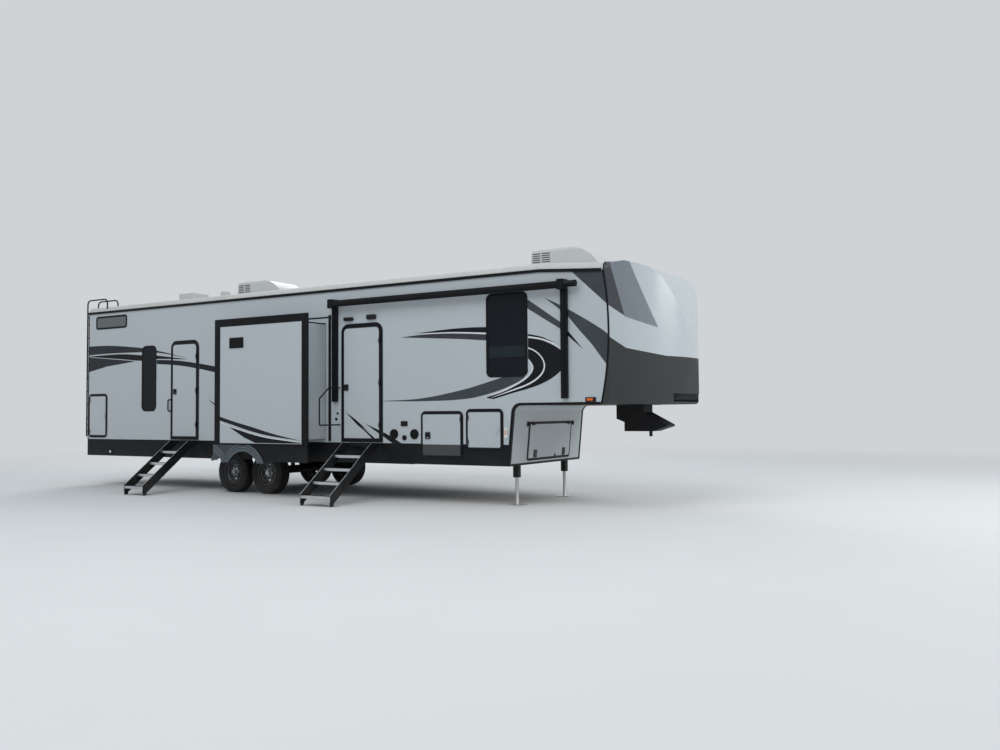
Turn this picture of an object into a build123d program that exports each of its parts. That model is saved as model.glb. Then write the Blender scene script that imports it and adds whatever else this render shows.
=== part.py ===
from build123d import *
from collections import namedtuple
from math import atan2, cos, sin
import os

os.makedirs("parts", exist_ok=True)

# Frame of the trailer, in millimetres: X forward, Y to the street side, Z up from the ground.
# A size whose name ends in _x is measured ahead of the rear wall, as are the sketch planes below.
rear_wall_x = -6290


def upright(y):
    """Sketch plane along the trailer at this Y: sketch x runs forward, y up, extrusions go to -Y."""
    return Plane(origin=(rear_wall_x, y, 0), x_dir=(1, 0, 0), z_dir=(0, -1, 0))


def across(x):
    """Sketch plane across the trailer: sketch x is Y, sketch y is Z, extrusions go forward."""
    return Plane(origin=(rear_wall_x + x, 0, 0), x_dir=(0, 1, 0), z_dir=(1, 0, 0))


def level(z):
    """Sketch plane over the ground: sketch x runs forward, sketch y is Y, extrusions go up."""
    return Plane(origin=(rear_wall_x, 0, z), x_dir=(1, 0, 0), z_dir=(0, 0, 1))


# Body shell
half_width = 1220
wall = 50
wall_foot_z = 950
skirt_foot_z = 620
skirt_sheet = 12
floor_top_z = 1000
floor_thickness = 90
eaves_z = 3560
eaves_front_z = 3490
roof_break_x = 10700
roof_shoulder_in = 90
roof_shoulder_rise = 120
roof_crown_rise = 200
neck_z = 1550
bulkhead_foot_x = 10150
bulkhead_head_x = 10230
bulkhead_head_z = 1430
neck_corner_x = 10350
neck_corner_radius = 125
roof_shoulder_radius = 125
gutter_below = 25
gutter_above = 20
gutter_proud = 22
gutter_short = 20
bay_x = 8350
bay_floor = 60

# Seam between the walls and the moulded cap
seam_low_x = 11690
seam_belly_x = 11815
seam_belly_z = 2650
seam_high_x = 11735

# Black trims over the seam and along the walls' front edges
seam_trim_half = 14
seam_trim_proud = 6
edge_trim = 35
edge_trim_proud = 4

# Front cap: its plan, then its side profile as (distance behind the nose, height)
cap_shell = 40
cap_side_x = seam_low_x + 130
cap_crease_x = cap_side_x + 190
cap_crease_in = 95
cap_nose_x = cap_crease_x + 650
cap_back_x = seam_low_x - 190
cap_brow = (420, 3555)
cap_forehead = (270, 3453)
cap_temple = (170, 3284)
cap_cheek = (51, 2893)
cap_nose_high_z = 2411
cap_nose_low_z = 2172
cap_jaw = (50, 1716)
cap_jowl = (98, 1615)
cap_chin_back = 220
cap_recess_half_width = 560
cap_recess_z = (1585, 1700)
cap_recess_depth = 15

# Clearances
running_gap = 6
seat_gap = 0.3
fit_gap = 0.5
bearing_gap = 0.05

# Frames of doors and windows
Opening = namedtuple("Opening", "name x_low x_high z_low z_high corner")
frame_proud = 8
frame_lap = 15
door_frame_width = 60
baggage_frame_width = 34
window_frame_width = 35
door_leaf = 40
baggage_leaf = 30
leaf_proud = 4
glass = 6

# Hinges and latches
hinge_stand = 10
hinge_radius = 8
hinge_pin_radius = 4
hinge_tab = 20
hinge_knuckle_length = 60
hinge_end_gap = 1
hinge_end_length = 25
bin_hinge_in = 120
bin_latch_in = 240
bin_latch_up = 108
bin_latch_size = (50, 125)
bin_lock = (253, 101, 16)
latch_corner = 15
latch_proud = 12

entry_doors = [
    Opening("main_door", 6860, 7750, 960, 2960, 120),
    Opening("rear_door", 2560, 3350, 960, 2870, 110),
]
curb_baggage_doors = [
    Opening("baggage_door_front", 9380, 10060, 850, 1500, 40),
    Opening("baggage_door_middle", 8520, 9330, 720, 1470, 40),
    Opening("baggage_door_rear", 40, 640, 980, 1880, 40),
]
street_baggage_doors = [
    Opening("street_baggage_door", 8520, 9330, 720, 1470, 40),
]
bin_door = Opening("bin_door", -690, 800, 60, 675, 50)
curb_windows = [
    Opening("bedroom", 9760, 10490, 1980, 3270, 90),
    Opening("tall", 1700, 2130, 1510, 2810, 110),
    Opening("high", 250, 1230, 3210, 3480, 60),
]
street_windows = [
    Opening("bedroom", 10150, 10880, 2100, 3000, 90),
    Opening("bunk", 900, 1800, 2150, 2950, 90),
]

# Slide-out rooms
slide_floor_z = 1010
slide_top_z = 3000
slide_wall = 50
slide_inner_reach = 50
slide_skid = 80
slide_flange = 30
slide_skin = 24
slide_skid_in = 200
flange_bar = 135
flange_top_z = 3140
curb_slide_x = (4420, 6500)
curb_flange_x = (curb_slide_x[0] - 80, curb_slide_x[1] + 60)
curb_flange_foot_z = 870
curb_sill = 60
curb_slide_travel = 480
street_slide_x = (4100, 8200)
street_flange_x = (street_slide_x[0] - 80, street_slide_x[1] + 80)
street_flange_foot_z = 930
street_sill = 80
street_slide_travel = 1067
slide_opening_gap = 10
slide_vent = (curb_flange_x[0] + 375, curb_flange_x[0] + 716, 2611, 2797)
slide_vent_slots = 7
slide_vent_proud = 14
slide_vent_rim = 20
slide_vent_slot_depth = 8
street_slide_windows = [
    Opening("galley", street_slide_x[0] + 500, street_slide_x[0] + 1400, 2050, 2750, 90),
    Opening("sofa", street_slide_x[1] - 2200, street_slide_x[1] - 500, 1700, 2750, 90),
]

# Running gear
tyre_radius = 380
tyre_width = 235
wheel_face_y = half_width - 30
axle_mid_x = 4640
axle_spacing = 860
axle_radius = 38
spindle_radius = 25
axle_half_length = wheel_face_y - 302
spindle_half_length = wheel_face_y - 58
backing_plate = 12
backing_plate_radius = 150
hub_y = (axle_half_length + 5, wheel_face_y - 50)
hub_radius = 55
hub_cap_y = wheel_face_y - 25
drum_y = wheel_face_y - 230
drum_wall = 8
disc_y = (wheel_face_y - 98, wheel_face_y - 90)
hand_hole_radius = 20
hand_hole_pitch = 130
hand_holes = 8
lug_radius = 11
lug_pitch = 78
lugs = 6
# Half width and radius of each corner of the tyre's section, outside and inside
tyre_outside = [(80, 210), (80, 224), (108, 255), (117.5, 300), (110, 348), (78, 380)]
tyre_inside = [(62, 364), (98, 300), (66, 210)]
# Offset from the middle of the tyre and radius of each corner of the rim barrel
rim_barrel = [
    (-92, 222), (-80.3, 222), (-80.3, 209.7), (-70, 209.7), (-55, 190), (30, 190), (45, 209.7),
    (80.3, 209.7), (80.3, 222), (92, 222), (92, 203), (50, 203), (36, 183), (-60, 183), (-76, 203),
    (-92, 203),
]
spring_y = axle_half_length - 38
spring_half_lengths = (330, 220, 120)
spring_width = 45
spring_leaf = 8
spring_radius = 690
spring_top_z = 446
spring_eye_z = 530
hanger_half_width = 30
hanger_half_length = 22
seat_length = 90
arch_radius = 410
fender_radius = 500
fender_foot_z = 590
fender_top_z = 900
fender_proud = 25
fender_grooves = ((470, 462), (440, 432))
fender_groove_depth = 5

# Chassis
rail_y = spring_y
rail_width = 90
rail_web = 12
rail_foot_z = 620
bumper_size = 100
bumper_gap = 10
bumper_half_width = half_width - 100
belly_sheet = 6
cross_member_x = (200, 2200, 3300, 6000, 8200)
wheel_well_x = (3790, 5490)
wheel_well_y = spring_y - 60

# Standing gear
leg_x = 10060
leg_y = 820
leg_tube_width = 90
leg_rod_radius = 26
leg_tube_foot_z = 430
leg_pad = 230
leg_pad_thickness = 12
pin_x = 11960
pin_radius = 25.4
pin_length = 80
pin_plate_z = 1140
pin_box_half_width = 180
pin_box_plate = 8
pin_box_side = [
    (11470, neck_z), (11920, neck_z), (11920, neck_z - 120), (12280, pin_plate_z + 100),
    (12280, pin_plate_z + 75), (12050, pin_plate_z), (11600, pin_plate_z), (11600, pin_plate_z + 140),
    (11470, neck_z - 220),
]

# Entry steps: distance out from the wall and height of the side plate's corners
step_side = [(30, 950), (214, 950), (1220, 176), (1220, 60), (1113, 60), (30, 893)]
tread_rise = 200
tread_run = 260
tread_count = 4
tread_depth = 195
tread_thickness = 40
top_tread_out = 430
top_tread_z = 755
step_plate = 10
step_bar = (42, 885, 950)
step_foot = [(1120, 65), (1220, 65), (1205, 0), (1145, 0)]
Flight = namedtuple("Flight", "middle_x half_width")
flights = [Flight(7360, 300), Flight(3050, 245)]

# Awning
awning_arm_x = (6740, 11120)
awning_arm_width = 100
awning_arm_foot_z = 1640
awning_arm_top_z = 3390
awning_arm_depth = 60
awning_radius = 55
awning_y = half_width + 120
awning_z = 3310
awning_head = 75
awning_end = 190
awning_end_radius = 48

# Roof equipment
ac_rear_x = (3413, 10053)
ac_length = 1210
ac_half_width = 350
ac_rise = 300
ac_corner = 60
ac_top_z = eaves_z + roof_crown_rise + ac_rise
ac_grilles = ((60, 200), (225, 375))
ac_grille_slots = 5
ac_slot_pitch = 34
ac_slot_depth = 8
Fixture = namedtuple("Fixture", "x_low x_high y_low y_high top_z")
roof_fixtures = [
    Fixture(6300, 8200, -380, 380, 3790),
    Fixture(2080, 2490, -640, -240, 3890),
    Fixture(3280, 3400, -640, -500, 3850),
]

# Rear ladder
ladder_y = (30 - half_width, 280 - half_width)
ladder_out = 80
ladder_tube = 14
ladder_bend = 90
ladder_foot_z = 1000
ladder_hoop_z = eaves_z + 280
ladder_reach = 640
rung_radius = 12
rung_z = (1100, 1380, 1660, 1940, 2220, 2500, 2780, 3060, 3340)
ladder_stay_z = (1240, 2360, 3480)

# Handles: distance out from the wall and height of each corner
handle_tube = 12
handle_bend = 30
assist_handle_x = 6822
assist_handle = [(0, 1250), (515, 1250), (515, 1690), (270, 1880), (0, 1880)]
grab_handle_x = 2540
grab_handle = [(0, 1510), (55, 1510), (55, 1730), (0, 1730)]

# Lamps and fittings on the side walls; side is -1 on the curb side and 1 on the street side
Plate = namedtuple("Plate", "side x_low x_high z_low z_high proud")
side_lamps = [
    Plate(-1, 6935, 7125, 3010, 3070, 45),
    Plate(-1, 7430, 7610, 3010, 3090, 45),
    Plate(-1, 10080, 10130, 1050, 1210, 18),
    Plate(-1, 11445, 11605, 1598, 1648, 18),
    Plate(1, 10080, 10130, 1050, 1210, 18),
    Plate(1, 11445, 11605, 1598, 1648, 18),
    Plate(-1, 730, 790, 670, 730, 18),
    Plate(1, 730, 790, 670, 730, 18),
]
tail_lamp = (half_width - 290, half_width - 110, 1080, 1200, 30)
side_plates = [
    Plate(-1, 8120, 8250, 1230, 1310, 14),
    Plate(-1, curb_flange_x[1] + 12, curb_flange_x[1] + 68, 970, flange_top_z, 8),
    Plate(1, 9500, 9780, 1050, 1330, 14),
    Plate(1, 9450, 9830, 1650, 1990, 14),
    Plate(1, 2700, 3100, 1150, 1500, 14),
]
lamp_corner = 22
plate_corner = 10
Round = namedtuple("Round", "x z radius proud")
curb_rounds = [
    Round(8390, 1100, 80, 14),
    Round(7980, 1100, 80, 14),
    Round(8190, 1040, 42, 14),
    Round(6774, 1444, 20, 8),
    Round(6748, 1348, 24, 12),
]


def rounded(opening, inset=0, square_foot=False):
    """Rounded outline of an opening, drawn smaller by inset all round."""
    width = opening.x_high - opening.x_low - 2 * inset
    height = opening.z_high - opening.z_low - 2 * inset
    middle = (opening.x_low + opening.x_high) / 2
    with BuildSketch(Plane.XY) as shape:
        with Locations((middle, (opening.z_low + opening.z_high) / 2)):
            RectangleRounded(width, height, max(opening.corner - inset, 8))
        if square_foot:
            with Locations((middle, opening.z_low + inset)):
                Rectangle(width, height / 2, align=(Align.CENTER, Align.MIN))
    return shape.sketch


def ring(opening, outer_inset, inner_inset, square_foot=False):
    """Band between two outlines of the same opening."""
    with BuildSketch(Plane.XY) as band:
        add(rounded(opening, outer_inset, square_foot))
        add(rounded(opening, inner_inset, square_foot), mode=Mode.SUBTRACT)
    return band.sketch


def block(x_low, x_high, z_low, z_high):
    """Rectangle between two corners of an upright sketch."""
    with BuildSketch(Plane.XY) as shape:
        with Locations(((x_low + x_high) / 2, (z_low + z_high) / 2)):
            Rectangle(x_high - x_low, z_high - z_low)
    return shape.sketch


def outline(*corners):
    """Straight-sided face through these corners."""
    with BuildSketch(Plane.XY) as shape:
        with BuildLine():
            Polyline(*corners, close=True)
        make_face()
    return shape.sketch


def bulkhead_x(z):
    """Distance of the bulkhead's outer face ahead of the rear wall, at this height."""
    lean = (bulkhead_head_x - bulkhead_foot_x) / (bulkhead_head_z - skirt_foot_z)
    return bulkhead_foot_x + lean * (z - skirt_foot_z)


def side_outline():
    """Outline of a side wall, from the rear corner round the gooseneck to the seam."""
    foot = (bulkhead_x(wall_foot_z), wall_foot_z)
    head = (bulkhead_head_x, bulkhead_head_z)
    with BuildSketch(Plane.XY) as shape:
        with BuildLine():
            Line((0, wall_foot_z), foot)
            Line(foot, head)
            RadiusArc(head, (neck_corner_x, neck_z), neck_corner_radius)
            Line((neck_corner_x, neck_z), (seam_low_x, neck_z))
            add(seam_line())
            Line((seam_high_x, eaves_front_z), (roof_break_x, eaves_z))
            Line((roof_break_x, eaves_z), (0, eaves_z))
            Line((0, eaves_z), (0, wall_foot_z))
        make_face()
    return shape.sketch


def seam_line(shift=0):
    """Arc of the seam between wall and cap, from its foot up, moved forward by shift."""
    with BuildLine(Plane.XY) as arc:
        ThreePointArc(
            (seam_low_x + shift, neck_z),
            (seam_belly_x + shift, seam_belly_z),
            (seam_high_x + shift, eaves_front_z),
        )
    return arc.line


def louvre(x_low, x_high, z_low, z_high, slots):
    """Slots of a grille: the openings between its slats, evenly spaced."""
    pitch = (z_high - z_low) / slots
    with BuildSketch(Plane.XY) as shape:
        for count in range(slots):
            slot_z = z_low + (count + 0.25) * pitch
            add(block(x_low, x_high, slot_z, slot_z + pitch / 2))
    return shape.sketch


def slide_opening(slide_x):
    """Hole that a slide-out room passes through."""
    low, high = slide_x
    top = slide_top_z + slide_opening_gap
    return block(low - slide_opening_gap, high + slide_opening_gap, floor_top_z, top)


def bowed_section(base_z, foot_z, inset=0):
    """Section across the trailer: straight sides from foot_z up to base_z, then the bowed roof."""
    side = half_width - inset
    shoulder_y = side - roof_shoulder_in
    shoulder_z = base_z + roof_shoulder_rise - inset
    crown_z = base_z + roof_crown_rise - inset
    with BuildSketch(Plane.XY) as section:
        with BuildLine():
            Line((-side, foot_z), (side, foot_z))
            if foot_z < base_z:
                Line((side, foot_z), (side, base_z))
                Line((-side, base_z), (-side, foot_z))
            RadiusArc((side, base_z), (shoulder_y, shoulder_z), -roof_shoulder_radius)
            ThreePointArc((shoulder_y, shoulder_z), (0, crown_z), (-shoulder_y, shoulder_z))
            RadiusArc((-shoulder_y, shoulder_z), (-side, base_z), -roof_shoulder_radius)
        make_face()
    return section.sketch


def keep(piece, name):
    """Label a finished piece and write it to its own file."""
    piece.label = name
    export_step(piece, f"parts/{name}.step")


# Side walls
with BuildPart() as curb_side_wall:
    with BuildSketch(upright(wall - half_width)):
        add(side_outline())
        for door in entry_doors:
            add(rounded(door, frame_lap, square_foot=True), mode=Mode.SUBTRACT)
        for opening in curb_baggage_doors + curb_windows:
            add(rounded(opening, frame_lap), mode=Mode.SUBTRACT)
        add(slide_opening(curb_slide_x), mode=Mode.SUBTRACT)
    extrude(amount=wall)
keep(curb_side_wall.part, "curb_side_wall")

with BuildPart() as street_side_wall:
    with BuildSketch(upright(half_width)):
        add(side_outline())
        for opening in street_baggage_doors + street_windows:
            add(rounded(opening, frame_lap), mode=Mode.SUBTRACT)
        add(slide_opening(street_slide_x), mode=Mode.SUBTRACT)
    extrude(amount=wall)
keep(street_side_wall.part, "street_side_wall")

# Roof: level to the break, then falling to the cap
roof_fall = Vector(seam_high_x - roof_break_x, 0, eaves_front_z - eaves_z)
with BuildPart() as roof:
    with BuildSketch(across(0)):
        add(bowed_section(eaves_z, eaves_z))
    extrude(amount=roof_break_x)
    with BuildSketch(across(roof_break_x)):
        add(bowed_section(eaves_z, eaves_z))
    extrude(amount=roof_fall.length, dir=roof_fall.normalized())
keep(roof.part, "roof")

# Gutter rails along the eaves, and the black trims over the seam and along the walls' front edges
with BuildSketch(Plane.XY) as seam_band:
    with BuildLine():
        add(seam_line(-seam_trim_half))
        Line((seam_high_x - seam_trim_half, eaves_front_z), (seam_high_x + seam_trim_half, eaves_front_z))
        add(seam_line(seam_trim_half))
        Line((seam_low_x + seam_trim_half, neck_z), (seam_low_x - seam_trim_half, neck_z))
    make_face()

with BuildSketch(Plane.XY) as edge_band:
    edge_foot = (bulkhead_x(wall_foot_z), wall_foot_z)
    edge_end = (seam_low_x - seam_trim_half, neck_z)
    with BuildLine():
        Line(edge_foot, (bulkhead_head_x, bulkhead_head_z))
        RadiusArc((bulkhead_head_x, bulkhead_head_z), (neck_corner_x, neck_z), neck_corner_radius)
        Line((neck_corner_x, neck_z), edge_end)
        Line(edge_end, (edge_end[0], neck_z + edge_trim))
        Line((edge_end[0], neck_z + edge_trim), (neck_corner_x, neck_z + edge_trim))
        RadiusArc(
            (neck_corner_x, neck_z + edge_trim),
            (bulkhead_head_x - edge_trim, bulkhead_head_z),
            -neck_corner_radius - edge_trim,
        )
        Line((bulkhead_head_x - edge_trim, bulkhead_head_z), (edge_foot[0] - edge_trim, wall_foot_z))
        Line((edge_foot[0] - edge_trim, wall_foot_z), edge_foot)
    make_face()

with BuildPart() as gutter_rails:
    for side in (-1, 1):
        with BuildSketch(upright(side * half_width)):
            add(seam_band.sketch)
        extrude(amount=-side * seam_trim_proud)
        with BuildSketch(upright(side * half_width)):
            add(edge_band.sketch)
        extrude(amount=-side * edge_trim_proud)
        with BuildSketch(upright(side * half_width)):
            add(outline(
                (0, eaves_z - gutter_below),
                (roof_break_x, eaves_z - gutter_below),
                (seam_high_x - gutter_short, eaves_front_z - gutter_below),
                (seam_high_x - gutter_short, eaves_front_z + gutter_above),
                (roof_break_x, eaves_z + gutter_above),
                (0, eaves_z + gutter_above),
            ))
        extrude(amount=-side * gutter_proud)
    with BuildSketch(across(seam_high_x)):
        add(bowed_section(eaves_front_z, eaves_front_z, -seam_trim_proud))
        add(bowed_section(eaves_front_z, eaves_front_z), mode=Mode.SUBTRACT)
    extrude(amount=seam_trim_half)
keep(gutter_rails.part, "gutter_rails")

# End walls
inner_half_width = half_width - wall
with BuildPart() as rear_wall:
    with BuildSketch(across(0)):
        add(block(-inner_half_width, inner_half_width, wall_foot_z, eaves_z))
    extrude(amount=wall)
keep(rear_wall.part, "rear_wall")

# Plane of the leaning bulkhead: sketch x is Y, sketch y runs up its face
bulkhead_lean = atan2(bulkhead_head_x - bulkhead_foot_x, bulkhead_head_z - skirt_foot_z)
bulkhead_face = Plane(
    origin=(rear_wall_x + bulkhead_foot_x, 0, skirt_foot_z),
    x_dir=(0, 1, 0),
    z_dir=(cos(bulkhead_lean), 0, -sin(bulkhead_lean)),
)

with BuildPart() as front_bulkhead:
    with BuildSketch(upright(inner_half_width)):
        head = (bulkhead_head_x, bulkhead_head_z)
        with BuildLine():
            Line((bulkhead_foot_x, skirt_foot_z), head)
            RadiusArc(head, (neck_corner_x, neck_z), neck_corner_radius)
            Polyline(
                (neck_corner_x, neck_z),
                (bulkhead_head_x - wall, neck_z),
                (bulkhead_head_x - wall, bulkhead_head_z),
                (bulkhead_foot_x - wall, skirt_foot_z),
                (bulkhead_foot_x, skirt_foot_z),
            )
        make_face()
    extrude(amount=2 * inner_half_width)
    with BuildSketch(bulkhead_face):
        add(rounded(bin_door, frame_lap))
    extrude(amount=2 * wall, both=True, mode=Mode.SUBTRACT)
keep(front_bulkhead.part, "front_bulkhead")

# Floor: the living floor, the storage bay ahead of it and the raised bedroom floor
with BuildPart() as floor:
    with BuildSketch(upright(inner_half_width)):
        add(block(wall, bay_x, floor_top_z - floor_thickness, floor_top_z))
        add(outline(
            (bay_x, skirt_foot_z),
            (bulkhead_x(skirt_foot_z) - wall, skirt_foot_z),
            (bulkhead_x(skirt_foot_z + bay_floor) - wall, skirt_foot_z + bay_floor),
            (bay_x + bay_floor, skirt_foot_z + bay_floor),
            (bay_x + bay_floor, neck_z),
            (bay_x, neck_z),
        ))
        add(block(bay_x, seam_low_x, neck_z, neck_z + wall))
    extrude(amount=2 * inner_half_width)
keep(floor.part, "floor")


def cap_block(inset):
    """Solid of the moulded cap: its plan, its side profile and the body's section, all at once."""
    side = half_width - inset
    crease = (cap_crease_x - inset, side - cap_crease_in)
    nose_x = cap_nose_x - inset
    chin_x = nose_x - cap_chin_back
    low_z = neck_z + inset
    top_z = eaves_front_z + roof_crown_rise
    brow, forehead, temple = [(nose_x - back, z - inset) for back, z in (cap_brow, cap_forehead, cap_temple)]
    jaw, jowl = [(nose_x - back, z + inset) for back, z in (cap_jaw, cap_jowl)]
    with BuildSketch(Plane.XY) as plan:
        with BuildLine():
            Polyline(
                (crease[0], -crease[1]),
                (cap_side_x, -side),
                (cap_back_x, -side),
                (cap_back_x, side),
                (cap_side_x, side),
                crease,
            )
            ThreePointArc(crease, (nose_x, 0), (crease[0], -crease[1]))
        make_face()
    with BuildSketch(Plane.XY) as profile:
        with BuildLine():
            Polyline((chin_x, low_z), (cap_back_x, low_z), (cap_back_x, top_z), (seam_high_x, top_z), brow)
            ThreePointArc(brow, forehead, temple)
            ThreePointArc(temple, (nose_x - cap_cheek[0], cap_cheek[1]), (nose_x, cap_nose_high_z))
            Line((nose_x, cap_nose_high_z), (nose_x, cap_nose_low_z))
            Line((nose_x, cap_nose_low_z), jaw)
            ThreePointArc(jaw, jowl, (chin_x, low_z))
        make_face()
    with BuildPart() as solid:
        with BuildSketch(level(0)):
            add(plan.sketch)
        extrude(amount=2 * seam_belly_z)
        with BuildSketch(upright(half_width)):
            add(profile.sketch)
        extrude(amount=2 * half_width, mode=Mode.INTERSECT)
        with BuildSketch(across(0)):
            add(bowed_section(eaves_front_z, neck_z, inset))
        extrude(amount=2 * cap_nose_x, mode=Mode.INTERSECT)
    return solid.part


# Lamp recess across the chin of the cap
with BuildPart() as cap_recess:
    add(cap_block(0))
    add(cap_block(cap_recess_depth), mode=Mode.SUBTRACT)
    with BuildSketch(across(cap_side_x)):
        add(block(-cap_recess_half_width, cap_recess_half_width, *cap_recess_z))
    extrude(amount=cap_nose_x - cap_side_x, mode=Mode.INTERSECT)

# Front cap: one shell, open at the back, its edge meeting the side walls along the seam
with BuildPart() as front_cap:
    add(cap_block(0))
    add(cap_block(cap_shell), mode=Mode.SUBTRACT)
    add(cap_recess.part, mode=Mode.SUBTRACT)
    with BuildSketch(upright(2 * half_width)):
        with BuildLine():
            Polyline(
                (seam_high_x, eaves_front_z),
                (seam_high_x, 2 * eaves_z),
                (0, 2 * eaves_z),
                (0, 0),
                (seam_low_x, 0),
                (seam_low_x, neck_z),
            )
            add(seam_line())
        make_face()
    extrude(amount=4 * half_width, mode=Mode.SUBTRACT)
keep(front_cap.part, "front_cap")


def arches(radius):
    """The two wheel openings, from the ground up."""
    with BuildSketch(Plane.XY) as shape:
        for offset in (-0.5, 0.5):
            with Locations((axle_mid_x + offset * axle_spacing, tyre_radius)):
                Circle(radius)
    return shape.sketch


def fender_face():
    """Moulded band over both wheels, with the web between them drawn down to a point."""
    low_x = axle_mid_x - axle_spacing / 2
    high_x = axle_mid_x + axle_spacing / 2
    with BuildSketch(Plane.XY) as shape:
        add(arches(fender_radius))
        add(block(low_x, high_x, tyre_radius, fender_top_z))
        reach = (low_x - 2 * fender_radius, high_x + 2 * fender_radius)
        add(block(*reach, -eaves_z, fender_foot_z), mode=Mode.SUBTRACT)
        add(block(*reach, fender_top_z, eaves_z), mode=Mode.SUBTRACT)
        add(arches(arch_radius), mode=Mode.SUBTRACT)
    return shape.sketch


def groove_bands():
    """Grooves pressed into the fender, parallel to the wheel openings."""
    with BuildSketch(Plane.XY) as shape:
        for outer_radius, inner_radius in fender_grooves:
            add(arches(outer_radius))
            add(arches(inner_radius), mode=Mode.SUBTRACT)
        add(block(0, bay_x, -eaves_z, fender_foot_z), mode=Mode.SUBTRACT)
    return shape.sketch


# Lower skirt: both sides and the rear in one bent sheet
with BuildPart() as lower_skirt:
    for side in (-1, 1):
        with BuildSketch(upright(side * half_width)):
            add(outline(
                (0, skirt_foot_z),
                (bulkhead_foot_x, skirt_foot_z),
                (bulkhead_x(wall_foot_z), wall_foot_z),
                (0, wall_foot_z),
            ))
            add(arches(arch_radius), mode=Mode.SUBTRACT)
            for opening in curb_baggage_doors if side < 0 else street_baggage_doors:
                add(rounded(opening, frame_lap), mode=Mode.SUBTRACT)
        extrude(amount=side * skirt_sheet)
    with BuildSketch(across(0)):
        add(block(-half_width, half_width, skirt_foot_z, wall_foot_z))
        for y in (-rail_y, rail_y):
            reach = rail_width / 2 + fit_gap
            rail_top_z = floor_top_z - floor_thickness + fit_gap
            add(block(y - reach, y + reach, skirt_foot_z, rail_top_z), mode=Mode.SUBTRACT)
    extrude(amount=skirt_sheet)
keep(lower_skirt.part, "lower_skirt")

with BuildPart() as fenders:
    with BuildSketch(upright(half_width)):
        add(fender_face())
    extrude(amount=-fender_proud)
    with BuildSketch(upright(-half_width)):
        add(fender_face())
        low_x = curb_flange_x[0] - running_gap
        add(block(low_x, low_x + 3 * axle_spacing, 0, eaves_z), mode=Mode.SUBTRACT)
    extrude(amount=fender_proud)
    for side in (-1, 1):
        with BuildSketch(upright(side * (half_width + fender_proud))):
            add(groove_bands())
        extrude(amount=side * fender_groove_depth, mode=Mode.SUBTRACT)
keep(fenders.part, "fenders")


def wall_frame(opening, width, side, outer=half_width, depth=wall, square_foot=False):
    """Flanged ring set in a wall; side is -1 on the curb side and 1 on the street side."""
    with BuildPart() as frame:
        with BuildSketch(upright(side * outer)):
            add(ring(opening, 0, width, square_foot))
        extrude(amount=-side * frame_proud)
        with BuildSketch(upright(side * outer)):
            add(ring(opening, frame_lap + fit_gap, width, square_foot))
        extrude(amount=side * depth)
    return frame.part


def pane(opening, side, outer=half_width):
    """Window glass, just clear of its frame."""
    with BuildPart() as sheet:
        with BuildSketch(upright(side * (outer + glass / 2))):
            add(rounded(opening, window_frame_width + fit_gap))
        extrude(amount=side * glass)
    return sheet.part


# Hinges: a pin with two fixed ends on the frame, and a bored knuckle on the leaf between them
def hinge_place(x, z, side, leaf_side):
    """Plane of a hinge on a side wall: x away from the leaf, y outward, z along the pin."""
    outward = Vector(0, side, 0)
    away = Vector(-leaf_side, 0, 0)
    y = side * (half_width + frame_proud + leaf_proud + hinge_stand)
    return Plane(origin=(rear_wall_x + x, y, z), x_dir=away, z_dir=away.cross(outward))


def hinge_knuckle(place):
    """Leaf's half of a hinge."""
    with BuildPart(place) as knuckle:
        Cylinder(hinge_radius, hinge_knuckle_length)
        with Locations((-hinge_tab / 2, (hinge_radius / 2 - hinge_stand) / 2, 0)):
            Box(hinge_tab, hinge_radius / 2 + hinge_stand, hinge_knuckle_length)
        Cylinder(hinge_pin_radius + bearing_gap, hinge_knuckle_length, mode=Mode.SUBTRACT)
    return knuckle.part


def hinge_pin(place):
    """Frame's half of a hinge."""
    end_centre = hinge_knuckle_length / 2 + hinge_end_gap + hinge_end_length / 2
    tab_foot = hinge_stand + leaf_proud
    with BuildPart(place) as pin:
        Cylinder(hinge_pin_radius, 2 * end_centre)
        for end in (-end_centre, end_centre):
            with Locations((0, 0, end)):
                Cylinder(hinge_radius, hinge_end_length)
            with Locations((hinge_tab / 2, -tab_foot / 2, end)):
                Box(hinge_tab, tab_foot, hinge_end_length)
    return pin.part


Latch = namedtuple("Latch", "x z width height")
Leaf = namedtuple("Leaf", "opening side frame thickness hinge_side hinge_z latch square_foot")
front_hatch, middle_hatch, rear_hatch = curb_baggage_doors
middle_latch = Latch(8660, 1080, 100, 112)
leaves = [
    Leaf(entry_doors[0], -1, door_frame_width, door_leaf, 1, (1250, 1950, 2650),
         Latch(6978, 1880, 90, 108), True),
    Leaf(entry_doors[1], -1, door_frame_width, door_leaf, 1, (1250, 1900, 2550),
         Latch(2690, 1885, 90, 108), True),
    Leaf(front_hatch, -1, baggage_frame_width, baggage_leaf, -1, (980, 1370),
         Latch(9955, 1175, 70, 110), False),
    Leaf(middle_hatch, -1, baggage_frame_width, baggage_leaf, 1, (850, 1340), middle_latch, False),
    Leaf(rear_hatch, -1, baggage_frame_width, baggage_leaf, -1, (1110, 1750),
         Latch(545, 1430, 70, 110), False),
    Leaf(street_baggage_doors[0], 1, baggage_frame_width, baggage_leaf, 1, (850, 1340), middle_latch, False),
]


def leaf_hinges(leaf):
    """Planes of a leaf's hinges, in the gap between leaf and frame."""
    inset = leaf.frame + running_gap / 2
    if leaf.hinge_side > 0:
        x = leaf.opening.x_high - inset
    else:
        x = leaf.opening.x_low + inset
    return [hinge_place(x, z, leaf.side, -leaf.hinge_side) for z in leaf.hinge_z]


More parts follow.
